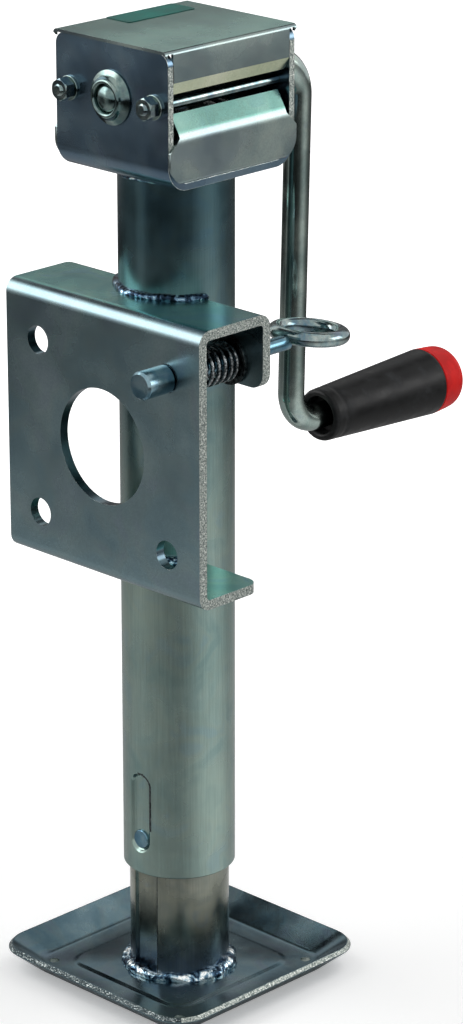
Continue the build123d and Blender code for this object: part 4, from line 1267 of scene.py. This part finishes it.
def bolt_shank(x):
    """Radius = shank less a triangle wave in (height / pitch - angle / full turn) over the threaded end."""
    threaded = np.arange(0, thread_length, thread_pitch / 8)
    along = np.concatenate([threaded, [thread_length + thread_pitch, bolt_head_start - bolt_low[1] + 0.5 * MM]])
    turn, place = np.meshgrid(circle(48), along)
    phase = (place / thread_pitch - turn / (2 * pi)) % 1
    wave = np.abs(2 * phase - 1)
    fade = smooth_step(thread_length - place, 0.0, 1.5 * thread_pitch)
    tip = smooth_step(place, -0.2 * MM, 0.8 * MM)
    radius = (bolt_radius - 0.02 * MM - thread_depth * wave * fade) * (tip_share + (1 - tip_share) * tip)
    return bolt_points(x, radius, turn, bolt_low[1] + place)


def hex_block(x, start, height, bore=0.0):
    """Radius = the hexagon's, capped by a cone that falls from the corners towards both faces."""
    angle = circle(96)
    from_flat = (angle + pi / 6) % (pi / 3) - pi / 6
    flat = hex_across / 2 / np.cos(from_flat)
    near_face = np.array([0, 0.25, 0.5, 0.8, 1.2]) * MM
    along = np.concatenate([near_face, height - near_face[::-1]])
    cone = hex_across / 2 * 0.97 + 1.5 * np.minimum(along, height - along)
    radius = np.minimum(flat, cone[:, None])
    if bore:
        inner = np.full_like(radius[:1], bore)
        along = np.concatenate([along, [height, 0.0]])
        radius = np.vstack([radius, inner, inner])
    return bolt_points(x, radius, angle, start + along[:, None])


# %% Cover bolts and nuts
head_length = bolt_high[1] - bolt_head_start
nut_length = nut_high[1] - nut_low[1]
nut_bore = bolt_radius + 0.05 * MM
bolt_shells = [skin(bolt_shank(x), close_ends=True) for x in bolt_places]
bolt_shells += [skin(hex_block(x, bolt_head_start, head_length), close_ends=True) for x in bolt_places]
nut_shells = [skin(hex_block(x, nut_low[1], nut_length, nut_bore), close_rows=True) for x in bolt_places]
for name, shells, node, sharp_from in (
    ("cover_bolts_threaded", bolt_shells, "cover_bolts", 30),
    ("cover_nuts_plated", nut_shells, "cover_nuts", 25),
):
    make_piece(name, shells, zinc["bent_ring"], "stand", [node], sharp_from=sharp_from)

# %% [markdown]
# ## The pieces inside
#
# Gears, screw, bearing and pins stay as the frame has them, because only glimpses of them show through the
# head's window. They still get their own metals, so that a glimpse is of greased steel and not of grey plastic.

# %% Finishes for the pieces that stay
slot_finish = {
    "zinc_plate": zinc["head_sheet"],
    "bright_zinc": zinc["drawn_bar"],
    "weld_bead": weld_metal,
    "spring_steel": spring_steel,
    "machined_steel": machined_steel,
    "ball_steel": ball_steel,
    "bronze": bush_bronze,
    "grip_rubber": grip_rubber,
    "red_cap": cap_plastic,
    "label": label_film,
}
kept = [part for part in frame["record"]["subparts"] if not frame["nodes"][part["node"]].hide_render]
for part in kept:
    for place in frame["nodes"][part["node"]].material_slots:
        place.material = slot_finish[part["material_slot"]]
print("nodes that keep the frame's own mesh:", len(kept))

# %% [markdown]
# ## Studio
#
# Bright metal looks like what stands around it. A white room alone would make it flat, so a product photographer
# stands the object on white, puts dark cloth on the floor farther away and beside the object, and the metal gets
# its dark sides from them. The two lamps are large and soft, one behind to the right and one to the left. They
# light the paint, the rubber and the floor, and the metal doesn't mirror them.
#
# The floor is pale paper. To the camera alone it glows a little, and more with distance, so that the background
# turns white while the paper near the foot keeps the object's shadow.

# %% A sheet of the set
target = np.array([0, 0, 0.3])
floor_half = 4.0
glow_distances = (0.22, 1.0)
glow_strengths = (0.3, 0.9)


def stage_sheet(name, mesh, finish, only_reflected=False):
    """A piece of the set, which isn't part of the object."""
    mesh.materials.append(finish)
    sheet = put_in_scene(name, mesh)
    if only_reflected:
        for ray in ("camera", "diffuse", "transmission", "volume_scatter", "shadow"):
            setattr(sheet, "visible_" + ray, False)


# %% Floor
floor_paper, floor_tree, floor_shader, floor_place = new_finish("studio_floor_paper", Roughness=0.9)
seen = add(floor_tree, "LightPath", out="Is Camera Ray")
away = add(floor_tree, "VectorMath", {"Vector": floor_place}, out="Value", operation="LENGTH")
limits = dict(zip(("From Min", "From Max", "To Min", "To Max"), (*glow_distances, *glow_strengths)))
glow = {"Value": seen, "Value_001": add(floor_tree, "MapRange", {"Value": away, **limits})}
strength = add(floor_tree, "Math", glow, operation="MULTIPLY")
paper = {"Base Color": paint("#f4f4f4"), "Emission Color": paint("#ffffff"), "Emission Strength": strength}
add(floor_tree, floor_shader, paper)
floor_mesh = bpy.data.meshes.new("floor")
round_the_floor = ((-1, -1), (1, -1), (1, 1), (-1, 1))
floor_mesh.from_pydata([(x * floor_half, y * floor_half, 0) for x, y in round_the_floor], [], [(0, 1, 2, 3)])
stage_sheet("floor", floor_mesh, floor_paper)

# %% [markdown]
# The cloths and screens are seen only by the metal: the camera, the soft light and the shadows pass through them.
# How dark a cloth is at each place is one value per point of its grid. For the floor cloth it is a mix of two
# curves over the direction, a pale one near the object and a dark one far away, and the share between them
# follows the distance. So the lower tube mirrors a nearly white floor, and the head, whose mirrored rays reach
# the floor farther out, mirrors dark cloth with one pale side.
#
# A cloth that stands behind to the left darkens the front faces. A small dark flag to the left keeps the foot's
# far wall dark. Two bright screens low at the left and at the right give the bends of the sheets their white
# line, and two dark ones above them end that line sharply.

# %% Cloths that only the metal sees
def cloth_finish(name):
    """Shows the grid's own grey values as they are, without light on them."""
    material = bpy.data.materials.new(name)
    material.use_nodes = True
    tree = material.node_tree
    tree.nodes.clear()
    grey = add(tree, "Attribute", attribute_name="grey", out="Color")
    light = add(tree, "Emission", {"Color": grey, "Strength": 1.0})
    add(tree, "OutputMaterial", {"Surface": light})
    return material


cloth_material = cloth_finish("studio_cloth")


def cloth(name, points, greys, close_columns=False):
    """A grid of points with one grey value each, seen only in reflections."""
    vertices, quads, _ = skin(points, close_columns=close_columns)
    mesh = bpy.data.meshes.new(name)
    mesh.from_pydata(vertices.tolist(), [], quads.tolist())
    colours = np.ones((len(vertices), 4), dtype=np.float32)
    colours[:, :3] = greys.reshape(-1, 1)
    mesh.attributes.new("grey", "FLOAT_COLOR", "POINT").data.foreach_set("color", colours.ravel())
    stage_sheet(name, mesh, cloth_material, only_reflected=True)


# %% The floor cloth
cloth_degrees = np.arange(0, 360, 4)
cloth_radius = np.concatenate([np.linspace(0.13, 1.4, 40), [2.0, 3.2]])
cloth_height = 1.0 * MM
far_from = (0.35, 1.25)
near_turns = (-160, -134, -90, -45, -20, 5, 40, 70, 110, 160)
near_greys = (0.5, 0.62, 0.46, 0.34, 0.55, 0.95, 1.0, 0.6, 0.45, 0.42)
far_turns = (-178, -150, -134, -118, -102, -80, -45, -16, 16, 30, 52, 66, 90, 135)
far_greys = (0.24, 0.12, 0.08, 0.34, 0.06, 0.03, 0.03, 0.1, 0.6, 0.62, 0.3, 0.16, 0.1, 0.1)


def floor_cloth():
    """x = radius cos(turn), y = radius sin(turn), and grey = near + (far - near) times the share of the distance."""
    cloth_angle = np.radians(cloth_degrees)
    near = np.interp(np.degrees(cloth_angle), near_turns, near_greys, period=360)
    far = np.interp(np.degrees(cloth_angle), far_turns, far_greys, period=360)
    share_far = smooth_step(cloth_radius, *far_from)[:, None]
    reach = cloth_radius[:, None]
    points = together(reach * np.cos(cloth_angle), reach * np.sin(cloth_angle), cloth_height)
    return points, near * (1 - share_far) + far * share_far


# %% The standing cloth, the flag and the screens
standing_half = 1.3
standing_height = 1.3
standing_grey = 0.16
band_grey, band_height, band_width = 0.5, 0.96, 0.05
flag_from, flag_to, flag_grey = (-0.44, -0.18), (-0.2, 0.12), 0.04
border_from = 0.5


def standing_cloth():
    """An upright sheet behind to the left: dark with one paler band, fading to white at its top and its sides."""
    reach = np.linspace(-standing_half, standing_half, 27)
    across, up = np.meshgrid(reach, np.linspace(0.0, standing_height, 40))
    middle, along = np.array([-1.5, 1.5]), np.array([1.0, 1.0]) / np.sqrt(2)
    points = together(middle[0] + across * along[0], middle[1] + across * along[1], up)
    rise = smooth_step(up, 1.1, 1.24)
    beside = smooth_step(np.abs(across), 1.0, standing_half)
    band = np.exp(-(((up - band_height) / band_width) ** 2))
    grey = standing_grey + band_grey * band
    return points, grey + (1 - grey) * np.maximum(rise, beside)


def dark_flag():
    """A level sheet of one dark grey at the left of the stand."""
    x, y = np.meshgrid(*np.linspace(flag_from, flag_to, 5).T)
    return together(x, y, target[2]), np.full(x.shape, flag_grey)


def screen(middle, width, height, grey):
    """A square screen of one grey that faces the object, its soft border fading to the room's white."""
    toward = unit(target - middle)
    across = unit(np.cross([0, 0, 1.0], toward))
    up = np.cross(toward, across)
    u, v = np.meshgrid(np.linspace(-1, 1, 21), np.linspace(-1, 1, 21))
    points = middle + u[..., None] * across * width / 2 + v[..., None] * up * height / 2
    border = smooth_step(np.maximum(np.abs(u), np.abs(v)), border_from, 1.0)
    return points, grey + (1 - grey) * border


# %% Hang the cloths and screens
cloth("floor_cloth", *floor_cloth(), close_columns=True)
cloth("standing_cloth", *standing_cloth())
cloth("left_flag", *dark_flag())
for name, middle, width, height, grey in (
    ("left_white_screen", (-0.96, -0.75, 0.95), 1.25, 1.2, 4.5),
    ("left_dark_screen", (-0.84, 0.225, 1.33), 0.9, 0.8, 0.05),
    ("right_white_screen", (0.93, 0.93, 0.76), 1.1, 0.7, 4.5),
    ("rear_dark_screen", (-0.3, 0.87, 1.42), 0.9, 0.8, 0.08),
):
    cloth(name, *screen(np.array(middle), width, height, grey))

# %% World and lamps
soft_light = 0.45
lamp_distance = 1.5
lamp_size = 1.0
lamp_radiance = 2.4
world = bpy.data.worlds.new("studio")
bpy.context.scene.world = world
world.use_nodes = True
room = world.node_tree
rays = [add(room, "LightPath", out=kind) for kind in ("Is Camera Ray", "Is Glossy Ray", "Is Transmission Ray")]
some = add(room, "Math", {"Value": rays[0], "Value_001": rays[1]}, operation="MAXIMUM")
mirrored = add(room, "Math", {"Value": some, "Value_001": rays[2]}, operation="MAXIMUM")
strength = add(room, "MapRange", {"Value": mirrored, "To Min": soft_light, "To Max": 1.0})
add(room, room.nodes["Background"], {"Color": (1, 1, 1, 1), "Strength": strength})


def soft_lamp(name, direction):
    """A large square lamp that faces the object. Watts = radiance times pi times its area."""
    data = bpy.data.lights.new(name, "AREA")
    data.size = lamp_size
    data.energy = lamp_radiance * pi * lamp_size**2
    lamp = put_in_scene(name, data)
    lamp.visible_glossy = False
    aim = Vector(target)
    lamp.location = aim + Vector(direction).normalized() * lamp_distance
    lamp.rotation_euler = (aim - lamp.location).to_track_quat("-Z", "Y").to_euler()


soft_lamp("rear_lamp", (0.336, 0.67, 0.9))
soft_lamp("left_lamp", (-0.66, -0.5, 0.8))

# %% Colours as written
bpy.context.scene.view_settings.view_transform = "Standard"
